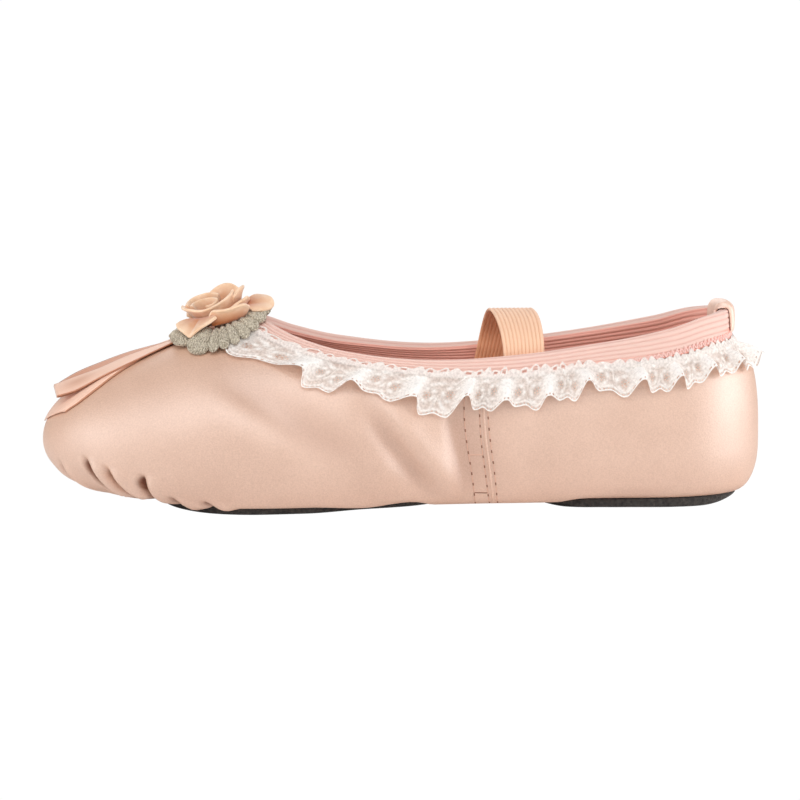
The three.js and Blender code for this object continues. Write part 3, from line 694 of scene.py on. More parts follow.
def on_satin(angle, row, offset):
    """A point on the gathered and folded satin, and an offset out from it."""
    angle, row, offset = alike(angle, row, offset)
    place = last_point(angle, row)
    normal, span = last_normal(angle, row)
    x, y, z = np.moveaxis(place, -1, 0)
    near = np.mod(angle, TURN) <= np.pi
    turn = np.where(near, np.mod(angle, TURN), TURN - np.mod(angle, TURN))
    folds = fold_sum(fold_x(x, near), z, "high") * window(row, *FOLD_ROWS)
    relief = folds + pleat_relief(pleat_turn(turn, near), row, span)
    moved = place + normal * (relief + offset)[..., None]
    slack = SLACK * beside_patch(FOREFOOT, x, y) * beside_patch(HEEL, x, y)
    slack *= fade(x - ARCH_X, SLACK_REACH) ** 0.3
    sagged = ARCH_SAG * fade(x - ARCH_X, ARCH_REACH)
    sink = np.maximum(0, slack - sagged) * smooth(row, *SLACK_ROWS)
    moved[..., 2] -= sink + BALL_HANG * window(row, *HANG_ROWS) * window(x, *HANG_X)
    return moved


print("side seam at the widest line:", on_satin(1.5, 1.0, 0).round(1))

# %% [markdown]
# ## The upper
# One grid makes the whole upper: from the spine underneath, up the outside to the collar, over the cut edge
# and down the lining. Its columns crowd together at the toe, where the gathers need them.

# %% Rows and columns of the upper
UPPER_COLUMNS, TOE_CROWDING = 560, 0.55
outer_rows = np.concatenate([np.linspace(3, 2, 9)[:-1], np.linspace(2, 1, 46)[:-1], np.linspace(1, 0, 40)])
inner_rows = np.concatenate([np.linspace(0, 2, 26), np.linspace(2, 3, 5)[1:]])
upper_rows = np.concatenate([outer_rows, inner_rows])
upper_depths = np.concatenate([0 * outer_rows, 0 * inner_rows - WALL])


def crowded_angle(across):
    return TURN * across - TOE_CROWDING * np.sin(TURN * across)


def line_at(along):
    return np.round(along * (len(upper_rows) - 1)).astype(int)


def lay_upper(across, along):
    return on_satin(crowded_angle(across), upper_rows[line_at(along)], upper_depths[line_at(along)])


print("upper of", UPPER_COLUMNS, "columns and", len(upper_rows), "rows")

# %% Upper
# These set the painted shade that darkens the satin's colour along the troughs of the gathers.
PAINTED_SHADE_WIDE, PAINTED_SHADE_MOST = 1.6, 0.85
PAINTED_SHADE_DEPTHS = (0.35, 2.6)  # millimetres of trough where the colour starts to deepen and is deepest
SHADE_END = (1.6, 2.0)
upper, upper_flat = laid_grid("satin_upper", UPPER_COLUMNS, len(upper_rows) - 1, lay_upper)
inside = face_means(upper, upper_flat[:, 1]) > (len(outer_rows) - 0.5) / (len(upper_rows) - 1)
two_faced(upper, satin_cloth, lining_cloth, inside)
upper_angle, upper_row = crowded_angle(upper_flat[:, 0]), upper_rows[line_at(upper_flat[:, 1])]
upper_near = upper_angle <= np.pi
upper_turn = np.minimum(upper_angle, TURN - upper_angle)
_, upper_span = last_normal(upper_turn, upper_row)
upper_x, _, upper_z = last_point(upper_turn, upper_row).T
shade = fold_sum(fold_x(upper_x, upper_near), upper_z, "shade") * (1 - smooth(upper_row, *SHADE_END))
trough = -pleat_relief(pleat_turn(upper_turn, upper_near), upper_row, upper_span, PAINTED_SHADE_WIDE)
paint(upper, "painted_shade", np.maximum(smooth(trough, *PAINTED_SHADE_DEPTHS) * PAINTED_SHADE_MOST, shade))
close_seams(upper)
dress(upper, satin_cloth, "satin", "upper")

# %% [markdown]
# ## Side seam
# The vamp and the quarter meet in a lapped seam on each side, held by three lines of lock stitch. Each stitch
# is a short thread in the satin's colour between two needle holes, whose shade is painted as dark dots.

# %% Threads as bevelled curves
TWIST = 0.0004


def threads(name, lines, radius, sides=1):
    """Round threads along lines of points in millimetres: a curve with a bevel, made a mesh."""
    curve = bpy.data.curves.new(name, "CURVE")
    curve.dimensions = "3D"
    curve.bevel_depth = radius * MM
    curve.bevel_resolution = sides
    curve.use_fill_caps = True
    for line in lines:
        spline = curve.splines.new("POLY")
        spline.points.add(len(line) - 1)
        spline.points.foreach_set("co", np.column_stack([line * MM, np.ones(len(line))]).ravel())
    piece = bpy.data.objects.new(name, curve)
    bpy.context.scene.collection.objects.link(piece)
    bpy.ops.object.select_all(action="DESELECT")
    piece.select_set(True)
    bpy.context.view_layer.objects.active = piece
    bpy.ops.object.convert(target="MESH")
    return bpy.context.object


def thread_finish(name, code, roughness):
    """Spun sewing thread: matt, with a fine twist that breaks up the light."""
    material, tree = new_material(name)
    shader = add_node(tree, "ShaderNodeBsdfPrincipled", {
        "Base Color": hex_colour(code), "Roughness": roughness,
        "Normal": bumps(tree, grain_of(tree, TWIST), 0.5, 0.0001),
    })
    return finish_material(material, shader)


print("threads are curves with a bevel")

# %% Lines of the seam
STITCH = 3.4
STITCH_LINES = table("head foot bow", (1.476, 1.557, 0.022), (1.533, 1.599, 0.012), (1.554, 1.624, 0.016))
SEAM_FOLD = {"head": 1.544, "foot": 1.612, "bow": 0.014}
SEAM_ROWS = (0.25, 1.82)
SEAM_POINTS = 60


def gone_along(line):
    """How far along a line of points each point lies."""
    return np.concatenate([[0], np.cumsum(np.linalg.norm(np.diff(line, axis=0), axis=1))])


def seam_line(line, side, count=None):
    """Angles and rows evenly spaced down a line on the side, a stitch apart or a count of them."""
    share = np.linspace(0, 1, 200)
    angle = mix(line["head"], line["foot"], share) + line["bow"] * np.sin(np.pi * share ** 0.8)
    angle = on_side(angle, side)
    row = mix(SEAM_ROWS[0], SEAM_ROWS[1], share)
    gone = gone_along(last_point(angle, row))
    wanted = np.interp(np.linspace(0, gone[-1], (count or int(gone[-1] / STITCH)) + 1), gone, share)
    return np.interp(wanted, share, angle), np.interp(wanted, share, row)


print("stitches in the first line:", len(seam_line(STITCH_LINES[0], -1)[0]) - 1)

# %% Stitches
# A deep bar is a sunk line of painted shadow, in the needle holes' dark thread.
BARS = table("row deep", (1.0, False), (1.55, True))
STITCH_RISE, HOLE_LIFT, DEEP_LIFT, FOLD_LIFT = 0.12, 0.02, -0.1, 0.05
stitch_share, hole_share = np.linspace(0.14, 0.86, 5), np.linspace(0.87, 1.12, 3)
stitch_lift = STITCH_RISE * np.sin(np.pi * np.linspace(0, 1, 5))
stitch_paths, hole_paths, fold_paths = [], [], []
kinds = ((stitch_paths, stitch_share, stitch_lift), (hole_paths, hole_share, HOLE_LIFT))
for side in SIDES.values():
    for line in STITCH_LINES:
        angle, row = seam_line(line, side)
        for k in range(len(angle) - 1):
            for paths, share, lift in kinds:
                angles, rows = (mix(ends[k], ends[k + 1], share) for ends in (angle, row))
                paths.append(on_satin(angles, rows, lift))
    edges = [seam_line(line, side, SEAM_POINTS) for line in STITCH_LINES[:2]]
    for bar in BARS:
        start, end = (np.interp(bar["row"], row, angle) for angle, row in edges)
        path = on_satin(np.linspace(start, end, 8), bar["row"], DEEP_LIFT if bar["deep"] else HOLE_LIFT)
        (hole_paths if bar["deep"] else stitch_paths).append(path)
    fold_paths.append(on_satin(*seam_line(SEAM_FOLD, side, SEAM_POINTS), FOLD_LIFT))
seam_thread = thread_finish("spun sewing thread", "#DDB29C", 0.7)
hole_shadow = thread_finish("needle holes in shadow", "#8A5F4C", 0.9)
dress(threads("seam_stitches", stitch_paths, 0.14), seam_thread, "satin")
dress(threads("seam_needle_holes", hole_paths, 0.22), hole_shadow, "satin")
dress(threads("seam_fold", fold_paths, 0.4, 2), satin_cloth, "satin")

# %% [markdown]
# ## Soles and insole
# A split sole is two suede patches, one under the ball of the foot and one under the heel, with bare satin
# between them. Each is a plate of its plan outline with rounded edges. The insole lies inside on the
# turned-under cloth.

# %% Suede
NAP, PITS = 0.0012, 0.0009


def suede(name, light, shade):
    """Black split suede: matt, with a short nap that scatters light in small patches and fine pits."""
    material, tree = new_material(name)
    place = add_node(tree, "ShaderNodeTexCoord").outputs["Object"]
    pits = add_node(tree, "ShaderNodeTexVoronoi", {"Vector": place, "Scale": 1 / PITS})
    shader = add_node(tree, "ShaderNodeBsdfPrincipled", {
        "Base Color": two_tones(tree, grain_of(tree, NAP, 5.0), shade, light, 0.3, 0.75),
        "Roughness": 0.85, "Specular IOR Level": 0.25, "Sheen Weight": 0.2,
        "Normal": bumps(tree, pits.outputs["Distance"], 0.6, 0.0003),
    })
    return finish_material(material, shader)


sole_suede = suede("black suede", "#4A4643", "#2A2726")
print("made", sole_suede.name)

# %% Plates
PLATE_COLUMNS = 200
PLATE_FAN = 0.8  # a plate's spine ends this share of its half width inside its outline


def plate(name, plan, edge, profile, rise=np.zeros_like):
    """A plate of a plan outline. The profile's rows: way in from the rim in mm, way in as a share, height."""
    fan = PLATE_FAN * plan["halves"][0]

    def lay(across, along):
        angle = TURN * across
        way = (1 - np.cos(angle)) / 2
        x = mix(plan["front"] + edge, plan["back"] - edge, way)
        half = half_width(plan, mix(plan["front"], plan["back"], way)) - edge
        y = np.where(angle <= np.pi, -1, 1) * np.maximum(half, 0)
        spine_x = mix(plan["front"] + fan, plan["back"] - fan, way)
        row = np.round(along * (len(profile) - 1)).astype(int)
        inward, share, lift = np.array(profile, float)[row].T
        move = np.clip(share + inward / np.maximum(np.hypot(spine_x - x, y), 1e-6), 0, 1)
        place_x, place_y = mix(x, spine_x, move), mix(y, 0, move)
        worn = rise(place_x) * (1 - np.clip(lift / SOLE_THICKNESS, 0, 1))
        return np.stack([place_x, place_y, lift + worn + spring_at(place_x)], -1)

    piece, _ = laid_grid(name, PLATE_COLUMNS, len(profile) - 1, lay)
    close_seams(piece)
    return piece


print("plates have", PLATE_COLUMNS, "columns round their rim")

# %% Soles and insole
SOLE_PROFILE = (
    (0, 1, 0), (0, 0.5, 0), (2.0, 0, 0), (0.9, 0, 0), (0.45, 0, 0.12), (0.15, 0, 0.4), (0, 0, 0.9),
    (0, 0, 1.6), (0, 0, 2.3), (0.1, 0, 2.75), (0.4, 0, 3), (0, 0.3, 3), (0, 1, 3),
)
INSOLE_PROFILE = (
    (0, 1, 0), (0, 0.4, 0), (0.3, 0, 0), (0, 0, 0.3), (0, 0, 1.2), (0.4, 0, INSOLE_THICKNESS),
    (4, 0, INSOLE_THICKNESS), (0, 0.5, INSOLE_THICKNESS), (0, 1, INSOLE_THICKNESS),
)
INSOLE_INSET, INSOLE_LEVEL = 1.5, SOLE_THICKNESS + 2 * GAP + WALL
FOREFOOT_SKIVED, HEEL_SKIVED, HEEL_WORN = 1.7, 1.5, 2.6


def forefoot_rise(x):
    """The forefoot patch is skived thin towards the arch."""
    return FOREFOOT_SKIVED * smooth(x, -44, 14) ** 1.3


def heel_rise(x):
    """The heel patch is skived thin in front and its back edge is worn round."""
    return HEEL_SKIVED * (1 - smooth(x, 38, 54)) + HEEL_WORN * smooth(x, 96, 116) ** 1.5


for name, plan, rise in (("forefoot_sole", FOREFOOT, forefoot_rise), ("heel_sole", HEEL, heel_rise)):
    dress(plate("suede_" + name, plan, 0, SOLE_PROFILE, rise), sole_suede, "sole_suede", name)
insole_cloth = plain_cloth("cotton sock", "#E1C2B3", "#D7B4A3", COARSE_THREAD)
insole = plate("cotton_insole", FEATHER, INSOLE_INSET, np.add(INSOLE_PROFILE, (0, 0, INSOLE_LEVEL)))
dress(insole, insole_cloth, "insole_cloth", "insole")

# %% [markdown]
# ## Collar binding
# A ribbed elastic is folded over the cut edge and stretched as it is sewn, so its ribs run along the collar.
# The ribs are real ridges in the mesh: the profile goes up the outside, over the fold and down the inside.

# %% Ribbed elastic
KNIT = 0.0004


def ribbed_elastic(name, colours, ribs, inner_from):
    """Knitted elastic: matt and a little fuzzy, with painted shade between its ribs and a deeper, redder
    painted shade on its inner face.
    """
    light, shaded_groove, inner, shaded_inner_groove = colours
    material, tree = new_material(name)
    along = cloth_map(tree)["Y"]
    wave = reckon(tree, "SINE", reckon(tree, "MULTIPLY", along, math.pi * ribs))
    crest = reckon(tree, "POWER", reckon(tree, "ABSOLUTE", wave), 0.45)
    turned = reckon(tree, "GREATER_THAN", along, inner_from)
    outside, inside = blend(tree, crest, shaded_groove, light), blend(tree, crest, shaded_inner_groove, inner)
    shader = add_node(tree, "ShaderNodeBsdfPrincipled", {
        "Base Color": blend(tree, turned, outside, inside), "Roughness": 0.72, "Specular IOR Level": 0.25,
        "Sheen Weight": 0.2, "Sheen Roughness": 0.5,
        "Normal": bumps(tree, grain_of(tree, KNIT, 3.0), 0.4, 0.00015),
    })
    return finish_material(material, shader)


BINDING_RIBS = 12
BINDING_VISIBLE = 0.92  # share of the binding's profile that shows
BINDING_INNER = 0.55  # share of that where the inner face begins
# Second and fourth colours: painted shade in the grooves. Third and fourth: painted shade and warm bounced
# light inside the collar.
binding_elastic = ribbed_elastic("pink ribbed elastic", ("#EBC8BC", "#D8A497", "#FFC2B2", "#F4A797"),
                                 BINDING_RIBS / BINDING_VISIBLE, BINDING_INNER * BINDING_VISIBLE)
print("made", binding_elastic.name)

# %% Binding
BINDING_HEIGHT, BINDING_HEIGHT_HEEL = 6.5, 8.9
BINDING_OUT = GAP + 1
BINDING_COLUMNS, ROWS_PER_RIB, HIDDEN_ROWS = 420, 7, 8
FOLD_LONG, FOLD_RISE = 3.6, 1.2
RIB_DEPTH, RIB_ROUND = 0.34, 0.7


def ridges_at(share, ribs, depth):
    """0 on the crest of each rib, and down to the depth in the grooves."""
    return depth * (np.abs(np.sin(np.pi * ribs * share)) ** RIB_ROUND - 1)


def binding_profile(share, side):
    """Distance down the wall and offset, from the outer hem over the fold to the inner hem."""
    past = share * (2 * side + FOLD_LONG) - side
    bend = np.pi * np.clip(past / FOLD_LONG, 0, 1)
    over = np.where(past > FOLD_LONG, past - FOLD_LONG, -FOLD_RISE * np.sin(bend))
    return np.where(past < 0, -past, over), -WALL / 2 + (BINDING_OUT + WALL / 2) * np.cos(bend)


def lay_binding(across, along):
    """The ribbed part that shows, then the way back under it: up inside the wall, over its edge and down."""
    share = np.clip(along / BINDING_VISIBLE, 0, 1)
    turn = np.pi - np.abs(TURN * across - np.pi)
    height = mix(BINDING_HEIGHT, BINDING_HEIGHT_HEEL, smooth(turn, 1.9, 2.5))
    distance, offset = binding_profile(share, height)
    before, after = (binding_profile(np.clip(share + step, 0, 1), height) for step in (-SMALL / 2, SMALL / 2))
    way_d, way_o = np.subtract(after, before)
    length = np.maximum(np.hypot(way_d, way_o), 1e-9)
    rib = ridges_at(share, BINDING_RIBS, RIB_DEPTH)
    hidden = np.clip((along - BINDING_VISIBLE) / (1 - BINDING_VISIBLE), 0, 1)
    back, closed = hidden > 0, hidden > 0.99
    distance = np.where(back, np.where(closed | (hidden < 0.5), height, 0), distance + rib * way_o / length)
    under = np.where(closed, BINDING_OUT, np.where(hidden < 0.75, -WALL - GAP / 2, GAP / 2))
    return beside_collar(TURN * across, distance, np.where(back, under, offset - rib * way_d / length))


binding_rows = BINDING_RIBS * ROWS_PER_RIB + HIDDEN_ROWS
binding, _ = laid_grid("collar_binding_elastic", BINDING_COLUMNS, binding_rows, lay_binding)
close_seams(binding)
dress(binding, binding_elastic, "binding_elastic", "collar_binding")

# %% [markdown]
# ## Gathered lace
# Cotton lace is pushed up along a thread as it is sewn under the binding, so it stands out in folds that lean
# over to one side. At each fold the hem comes up, and between two folds a panel lies close to the satin, with
# two scallops. The lace is a grid in two halves. The loops along the top, the eyes of the flowers and the
# pinholes of the hem are cut open. The net between them is finer than the picture shows, so it is a half-open
# finish instead.

# %% Lace folds
LACE_FOLDS = table(
    "angle notch left right lean out",
    (0.30, 18.0, 21.0, 17.2, 0.0, 1.0),
    (0.815, 16.8, 22.4, 21.6, 0.6, 4.2),
    (1.05, 15.8, 17.6, 19.2, -0.8, 3.6),
    (1.285, 16.2, 21.4, 21.0, 1.6, 3.8),
    (1.492, 13.6, 17.7, 18.0, -0.5, 4.6),
    (1.618, 14.6, 16.8, 18.4, 0.8, 3.2),
    (1.786, 14.4, 16.2, 17.2, -0.8, 3.2),
    (1.92, 11.8, 15.4, 18.5, 1.2, 4.2),
    (2.181, 14.4, 18.8, 19.6, 0.8, 4.2),
    (2.352, 16.4, 20.4, 19.8, 1.0, 4.2),
    (2.527, 17.4, 20.2, 20.6, 1.0, 4.4),
    (2.764, 18.8, 21.4, 21.8, -0.8, 4.4),
    (2.98, 19.6, 22.0, 22.0, 0.4, 4.6),
    (3.142, 21.0, 22.0, 22.0, 0.0, 4.8),
)
LAST_FOLD = len(LACE_FOLDS) - 1
LACE_TOP, LACE_TOP_HEEL = 4.8, 9.6
FOLD_WIDTH = 0.17  # of the way from one fold to the next
LOBE = (0.02, 0.28, 0.72, 0.98)  # where between two folds the hem comes down and goes up again
SCALLOP_DIP, SCALLOP_REACH = 1.1, 0.11
PANEL = 17.0  # millimetres of lace from one fold to the next
lace_columns = {key: np.array([fold[key] for fold in LACE_FOLDS]) for key in LACE_FOLDS[0]}
fold_index = np.arange(len(LACE_FOLDS))


def nearest_fold(index):
    return np.clip(np.round(index), 0, LAST_FOLD).astype(int)


def lace_edges(index):
    """At a place between folds: the angle, how far down the wall top and hem are, and how near a fold is."""
    panel = np.clip(np.floor(index), 0, LAST_FOLD - 1).astype(int)
    share = index - panel
    lobe = mix(lace_columns["left"][panel], lace_columns["right"][panel], smooth(share, 0.3, 0.7))
    lobe = lobe - SCALLOP_DIP * bell(share - 0.5, SCALLOP_REACH)
    hem = mix(np.interp(index, fold_index, lace_columns["notch"]), lobe, window(share, *LOBE))
    angle = np.interp(index, fold_index, lace_columns["angle"])
    top = mix(LACE_TOP, LACE_TOP_HEEL, smooth(angle, 1.7, 2.5))
    return angle, top, hem, bell(index - nearest_fold(index), FOLD_WIDTH)


def lace_depths(index, share):
    """Millimetres of lace from top to hem, and above and below a place on it."""
    _, top, hem, _ = lace_edges(index)
    return hem - top, share * (hem - top), (1 - share) * (hem - top)


print("folds on each side:", len(LACE_FOLDS))

# %% Lace pattern
HEM_CORD, SECOND_CORD = 0.32, 1.5  # distances from the hem
FLOWER, LEAVES = 2.3, 4.6  # distances from the middle of a flower
STRIP = 1.9  # millimetres of dense gathered lace along the top
DOUBLED_WIDTH = 0.23  # a fold lies double, so it looks solid white
NET_COVER, EYE_COVER, EYE_REACH = 0.56, 0.18, 1.5


def flower_places(index, down, depth):
    """Radius and turn round the middle of the nearer of a panel's two flowers."""
    share = np.mod(index, 1)
    from_side = (share - np.where(share < 0.5, 0.29, 0.71)) * PANEL
    from_top = down - (0.56 + 0.06 * np.sin(2.6 * np.floor(2 * index))) * depth
    return np.hypot(from_side, from_top), np.arctan2(from_top, from_side)


def lace_cords(index, share):
    """1 where the lace is thick cord, 0 where it is net: the hem, the strip along the top, and flowers."""
    depth, down, to_hem = lace_depths(index, share)
    radius, turn = flower_places(index, down, depth)
    petals = bell(radius - FLOWER, 0.8) * (0.6 + 0.25 * np.cos(5 * turn + index))
    leaves = bell(radius - LEAVES - 0.8 * np.sin(3 * turn + index), 0.8) * (0.55 + 0.25 * np.sin(4 * turn))
    hem_cord = 1 - smooth(to_hem, HEM_CORD, HEM_CORD + 0.3)
    inner_cord = 0.75 * bell(to_hem - SECOND_CORD, 0.5)
    strip = 0.5 * (1 - smooth(down, STRIP, STRIP + 1.2))
    return np.max([petals, leaves, hem_cord, inner_cord, strip], axis=0)


def lace_dense(index, share):
    """How solid the lace looks: net, cords, folds where it lies double, and thin eyes in the flowers."""
    depth, down, _ = lace_depths(index, share)
    radius, _ = flower_places(index, down, depth)
    doubled = bell(index - nearest_fold(index), DOUBLED_WIDTH) * smooth(share, 0.1, 0.3)
    solid = mix(NET_COVER, 1, np.maximum(lace_cords(index, share), doubled))
    return solid - EYE_COVER * bell(radius, EYE_REACH) * (1 - doubled)


print("a panel is", PANEL, "mm of lace with two flowers")

# %% Openings in the lace
PICOT = 4.25
PINHOLE = 1.4
LOOPS_UNTIL = 6.8  # behind this fold the top edge is hidden by the gathering stitches
ROSE_X = -60
UNDER_ROSE = (14.0, 15.6)  # the lace ends under the rose, this far from its middle along and across the shoe


def lace_is_open(index, share):
    """True where an opening is cut, from a place between folds and a share of the way from top to hem."""
    depth, down, to_hem = lace_depths(index, share)
    radius, turn = flower_places(index, down, depth)
    eye = (radius < 0.3) | ((np.abs(radius - 1.0) < 0.2) & (np.cos(5 * turn) > 0.5))
    picot = index * PANEL / PICOT
    loop = (down > 0.5) & (down < 1.15) & (np.abs(np.sin(np.pi * picot)) > 0.75)
    loop &= (np.sin(2.1 * np.floor(picot)) > -0.4) & (index < LOOPS_UNTIL)
    pinhole = (np.abs(to_hem - HEM_CORD - 0.4) < 0.2) & (np.mod(index * PANEL, PINHOLE) < 0.4 * PINHOLE)
    return eye | loop | pinhole


def is_under_rose(x, y):
    return np.hypot((x - ROSE_X) / UNDER_ROSE[0], y / UNDER_ROSE[1]) < 1


def cut_open(piece, openings):
    """Deletes the faces that lie in openings, in edit mode."""
    bpy.context.view_layer.objects.active = piece
    bpy.ops.object.mode_set(mode="EDIT")
    bpy.ops.mesh.select_mode(type="FACE")
    bpy.ops.mesh.select_all(action="DESELECT")
    bpy.ops.object.mode_set(mode="OBJECT")
    piece.data.polygons.foreach_set("select", openings)
    bpy.ops.object.mode_set(mode="EDIT")
    bpy.ops.mesh.delete(type="FACE")
    bpy.ops.mesh.select_mode(type="VERT")
    bpy.ops.object.mode_set(mode="OBJECT")


print("picot", PICOT, "mm, pinholes each", PINHOLE, "mm")

# %% Lace finish
LACE_UNEVEN, LACE_FUZZ = 0.13, 0.0008


def lace_finish(name, cord_code, net_code):
    """Bleached cotton: matt bright cords, and a net so fine that it looks half clear and a little uneven."""
    material, tree = new_material(name)
    cord, fuzz = painted(tree, "cord"), grain_of(tree, LACE_FUZZ, 3.0)
    thread = add_node(tree, "ShaderNodeBsdfPrincipled", {
        "Base Color": blend(tree, cord, net_code, cord_code), "Roughness": 0.85, "Specular IOR Level": 0.2,
        "Sheen Weight": 0.2, "Normal": bumps(tree, fuzz, 0.25, 0.00012),
    })
    bunch = add_node(tree, "ShaderNodeMapRange", {
        "Value": fuzz, "From Min": 0.35, "From Max": 0.65, "To Min": -LACE_UNEVEN, "To Max": LACE_UNEVEN})
    cover = reckon(tree, "ADD", bunch.outputs[0], cord, use_clamp=True)
    clear = add_node(tree, "ShaderNodeBsdfTransparent")
    both = add_node(tree, "ShaderNodeMixShader", {0: cover, 1: clear.outputs[0], 2: thread.outputs[0]})
    return finish_material(material, both)


lace_cotton = lace_finish("cotton lace", "#F8F4F0", "#E4D0C1")
print("made", lace_cotton.name)

# %% Lay the lace
LACE_COLUMNS, LACE_ROWS = 1300, 60
PICOT_RISE, PICOT_FOOT = 1.4, 0.16
OVER_BINDING, OVER_SATIN = 1.75, 1.05  # how far off the wall the lace lies, first over the binding's hem
CORD_RELIEF, TREMBLE = 0.16, 0.4
LACE_HANG = 0.06  # in front the lace hangs straight down, across the ribs of the upper


def lace_places(flat, side):
    """A place between folds and a share of the way from top to hem, from the flat grid."""
    return (flat[:, 0] if side < 0 else 1 - flat[:, 0]) * LAST_FOLD, 1 - flat[:, 1]


def lay_lace(across, along, side):
    index, share = lace_places(np.column_stack([across, along]), side)
    angle, top, hem, fold = lace_edges(index)
    picot = index * PANEL / PICOT
    rise = PICOT_RISE * np.abs(np.sin(np.pi * picot)) * (1 - smooth(share, 0, PICOT_FOOT))
    distance = mix(top, hem, share) - rise * (0.85 + 0.45 * np.sin(2.3 * picot + np.sin(picot)))
    flare = mix(smooth(share, 0.1, 0.95), share ** 1.2, smooth(angle, 2.6, 2.9))
    out = lace_columns["out"][nearest_fold(index)] * fold
    tremble = TREMBLE * np.sin(7 * index + 2) * np.sin(5 * share + 3 * index)
    offset = mix(OVER_BINDING, OVER_SATIN, smooth(share, 0.1, 0.3)) + (out + tremble) * flare
    _, span = last_normal(angle, 0.2)
    angle = angle + lace_columns["lean"][nearest_fold(index)] * fold * flare / span
    angle = on_side(angle + LACE_HANG * distance / 20 * (1 - smooth(angle, 0.9, 1.7)), side)
    under_x, _, under_z = beside_collar(angle, distance, 0).T
    ridges = np.maximum(fold_sum(fold_x(under_x, side < 0), under_z, "high"), 0) * smooth(share, 0.1, 0.5)
    return beside_collar(angle, distance, offset + CORD_RELIEF * lace_cords(index, share) + ridges)


for end, side in SIDES.items():
    lace, lace_flat = laid_grid("lace_" + end, LACE_COLUMNS, LACE_ROWS, lambda u, w: lay_lace(u, w, side))
    paint(lace, "cord", lace_dense(*lace_places(lace_flat, side)))
    openings = lace_is_open(*lace_places(face_means(lace, lace_flat), side))
    spots = face_means(lace, points_of(lace)) / MM
    cut_open(lace, openings | is_under_rose(spots[:, 0], spots[:, 1]))
    dress(lace, lace_cotton, "lace_cotton", "lace_frill")
    print("cloth area in square millimetres:", round(area_of(lace)))

# %% [markdown]
# ## Gathering stitches
# Towards the heel the lace is sewn lower, and a zigzag of pink elastic thread shows between the binding and
# the lace. It is one thread that goes up and down along the collar.

# %% Gathering stitches
ZIGZAG_FROM, ZIGZAG_TO, ZIGZAG_PITCH = 2.02, np.pi - 0.12, 1.5
ZIGZAG_HIGH, ZIGZAG_START, ZIGZAG_LOW = 6.7, 7.5, 8.6
zigzag_lines = []
for side in SIDES.values():
    angle = np.linspace(ZIGZAG_FROM, ZIGZAG_TO, 400)
    gone = gone_along(last_point(angle, 0.1))
    steps = np.arange(6 * int(gone[-1] / ZIGZAG_PITCH) + 1)
    places = np.interp(np.linspace(0, gone[-1], len(steps)), gone, angle)
    low = mix(ZIGZAG_START, ZIGZAG_LOW, smooth(places, ZIGZAG_FROM, 2.5))
    down = mix(ZIGZAG_HIGH, low, 0.5 + 0.5 * np.sin(np.pi * steps / 3)) + 0.25 * np.sin(1.7 * steps)
    zigzag_lines.append(beside_collar(on_side(places, side), down, BINDING_OUT + 0.1))
gather_thread = thread_finish("pink elastic thread", "#F1C6BD", 0.8)
dress(threads("gathering_zigzag", zigzag_lines, 0.3, 2), gather_thread, "binding_elastic")

# %% [markdown]
# ## Instep strap
# A wide ribbed elastic is sewn inside the binding on both sides and arches over the instep. It is a closed
# band: its outline is swept along the arch, and its eleven ribs are ridges on both faces.

# %% Line of the strap
STRAP_X, STRAP_WIDTH, STRAP_TOP, STRAP_TUCK = 36.7, 13.6, 63.9, 11
STRAP_HALF = 0.5
STRAP_OFFSET = -(WALL + GAP + 1) - GAP - 0.1 - STRAP_HALF
strap_angle = math.acos(1 - 2 * (STRAP_X - THROAT_X) / (COLLAR_BACK_X - THROAT_X))
strap_low, strap_brim = beside_collar(strap_angle, np.array([STRAP_TUCK, 0]), STRAP_OFFSET)
strap_rise = STRAP_TOP - STRAP_HALF - strap_brim[2]
arch_bends = np.linspace(0, np.pi, 61)
arch_y, arch_z = strap_brim[1] * np.cos(arch_bends), strap_brim[2] + strap_rise * np.sin(arch_bends)
strap_line = np.concatenate([[strap_low[1:]], np.stack([arch_y, arch_z], -1), [strap_low[1:] * (-1, 1)]])
strap_gone = gone_along(strap_line)
print("strap", round(strap_gone[-1], 1), "mm long")

# %% Strap
NEAR_LEAN, FAR_LEAN = 2.3, 2.8  # the strap is sewn in askew
TOP_WIDER = 1.5
STRAP_RIBS, STRAP_RIB = 11, 0.3
STRAP_STEP = 0.6


def strap_at(gone):
    """Where the middle of the strap is, across and up, this far along it."""
    return np.stack([np.interp(gone, strap_gone, strap_line[:, k]) for k in (0, 1)], -1)


def lay_strap(across, along):
    gone = across * strap_gone[-1]
    y, z = strap_at(gone).T
    way = strap_at(gone + STRAP_STEP) - strap_at(gone - STRAP_STEP)
    way /= np.linalg.norm(way, axis=1, keepdims=True)
    upper_face = along <= 0.5
    share = np.where(upper_face, 2 * along, 2 - 2 * along)
    half = STRAP_HALF + ridges_at(share, STRAP_RIBS, STRAP_RIB)
    up = np.where(upper_face, 1, -1) * half * smooth(np.minimum(share, 1 - share), -0.01, 0.03)
    low = 1 - (z - strap_brim[2]) / strap_rise
    lean = np.where(y < 0, NEAR_LEAN * y / strap_brim[1], -FAR_LEAN * low * smooth(y, 0, 6))
    x = STRAP_X + lean + (0.5 - share) * (STRAP_WIDTH + TOP_WIDER * np.clip(1 - low, 0, 1) ** 2)
    return np.stack([x, y - way[:, 1] * up, z + way[:, 0] * up], -1)


# The grooves take painted shade, and the strap's lower face takes the deeper colours as painted shade under
# the arch.
strap_elastic = ribbed_elastic("peach ribbed elastic", ("#F7CCAE", "#E3AA83", "#FFBE94", "#F0A476"),
                               2 * STRAP_RIBS, 0.5)
strap, _ = laid_grid("strap_elastic_band", 140, 2 * STRAP_RIBS * ROWS_PER_RIB, lay_strap)
close_seams(strap)
dress(strap, strap_elastic, "strap_elastic", "instep_strap")

# %% [markdown]
# ## Heel tab
# At centre back a folded tab of satin covers the join of the binding. It is a rolled loop over the collar: a
# profile whose corners are cut round, swept about a centimetre to both sides of the back.

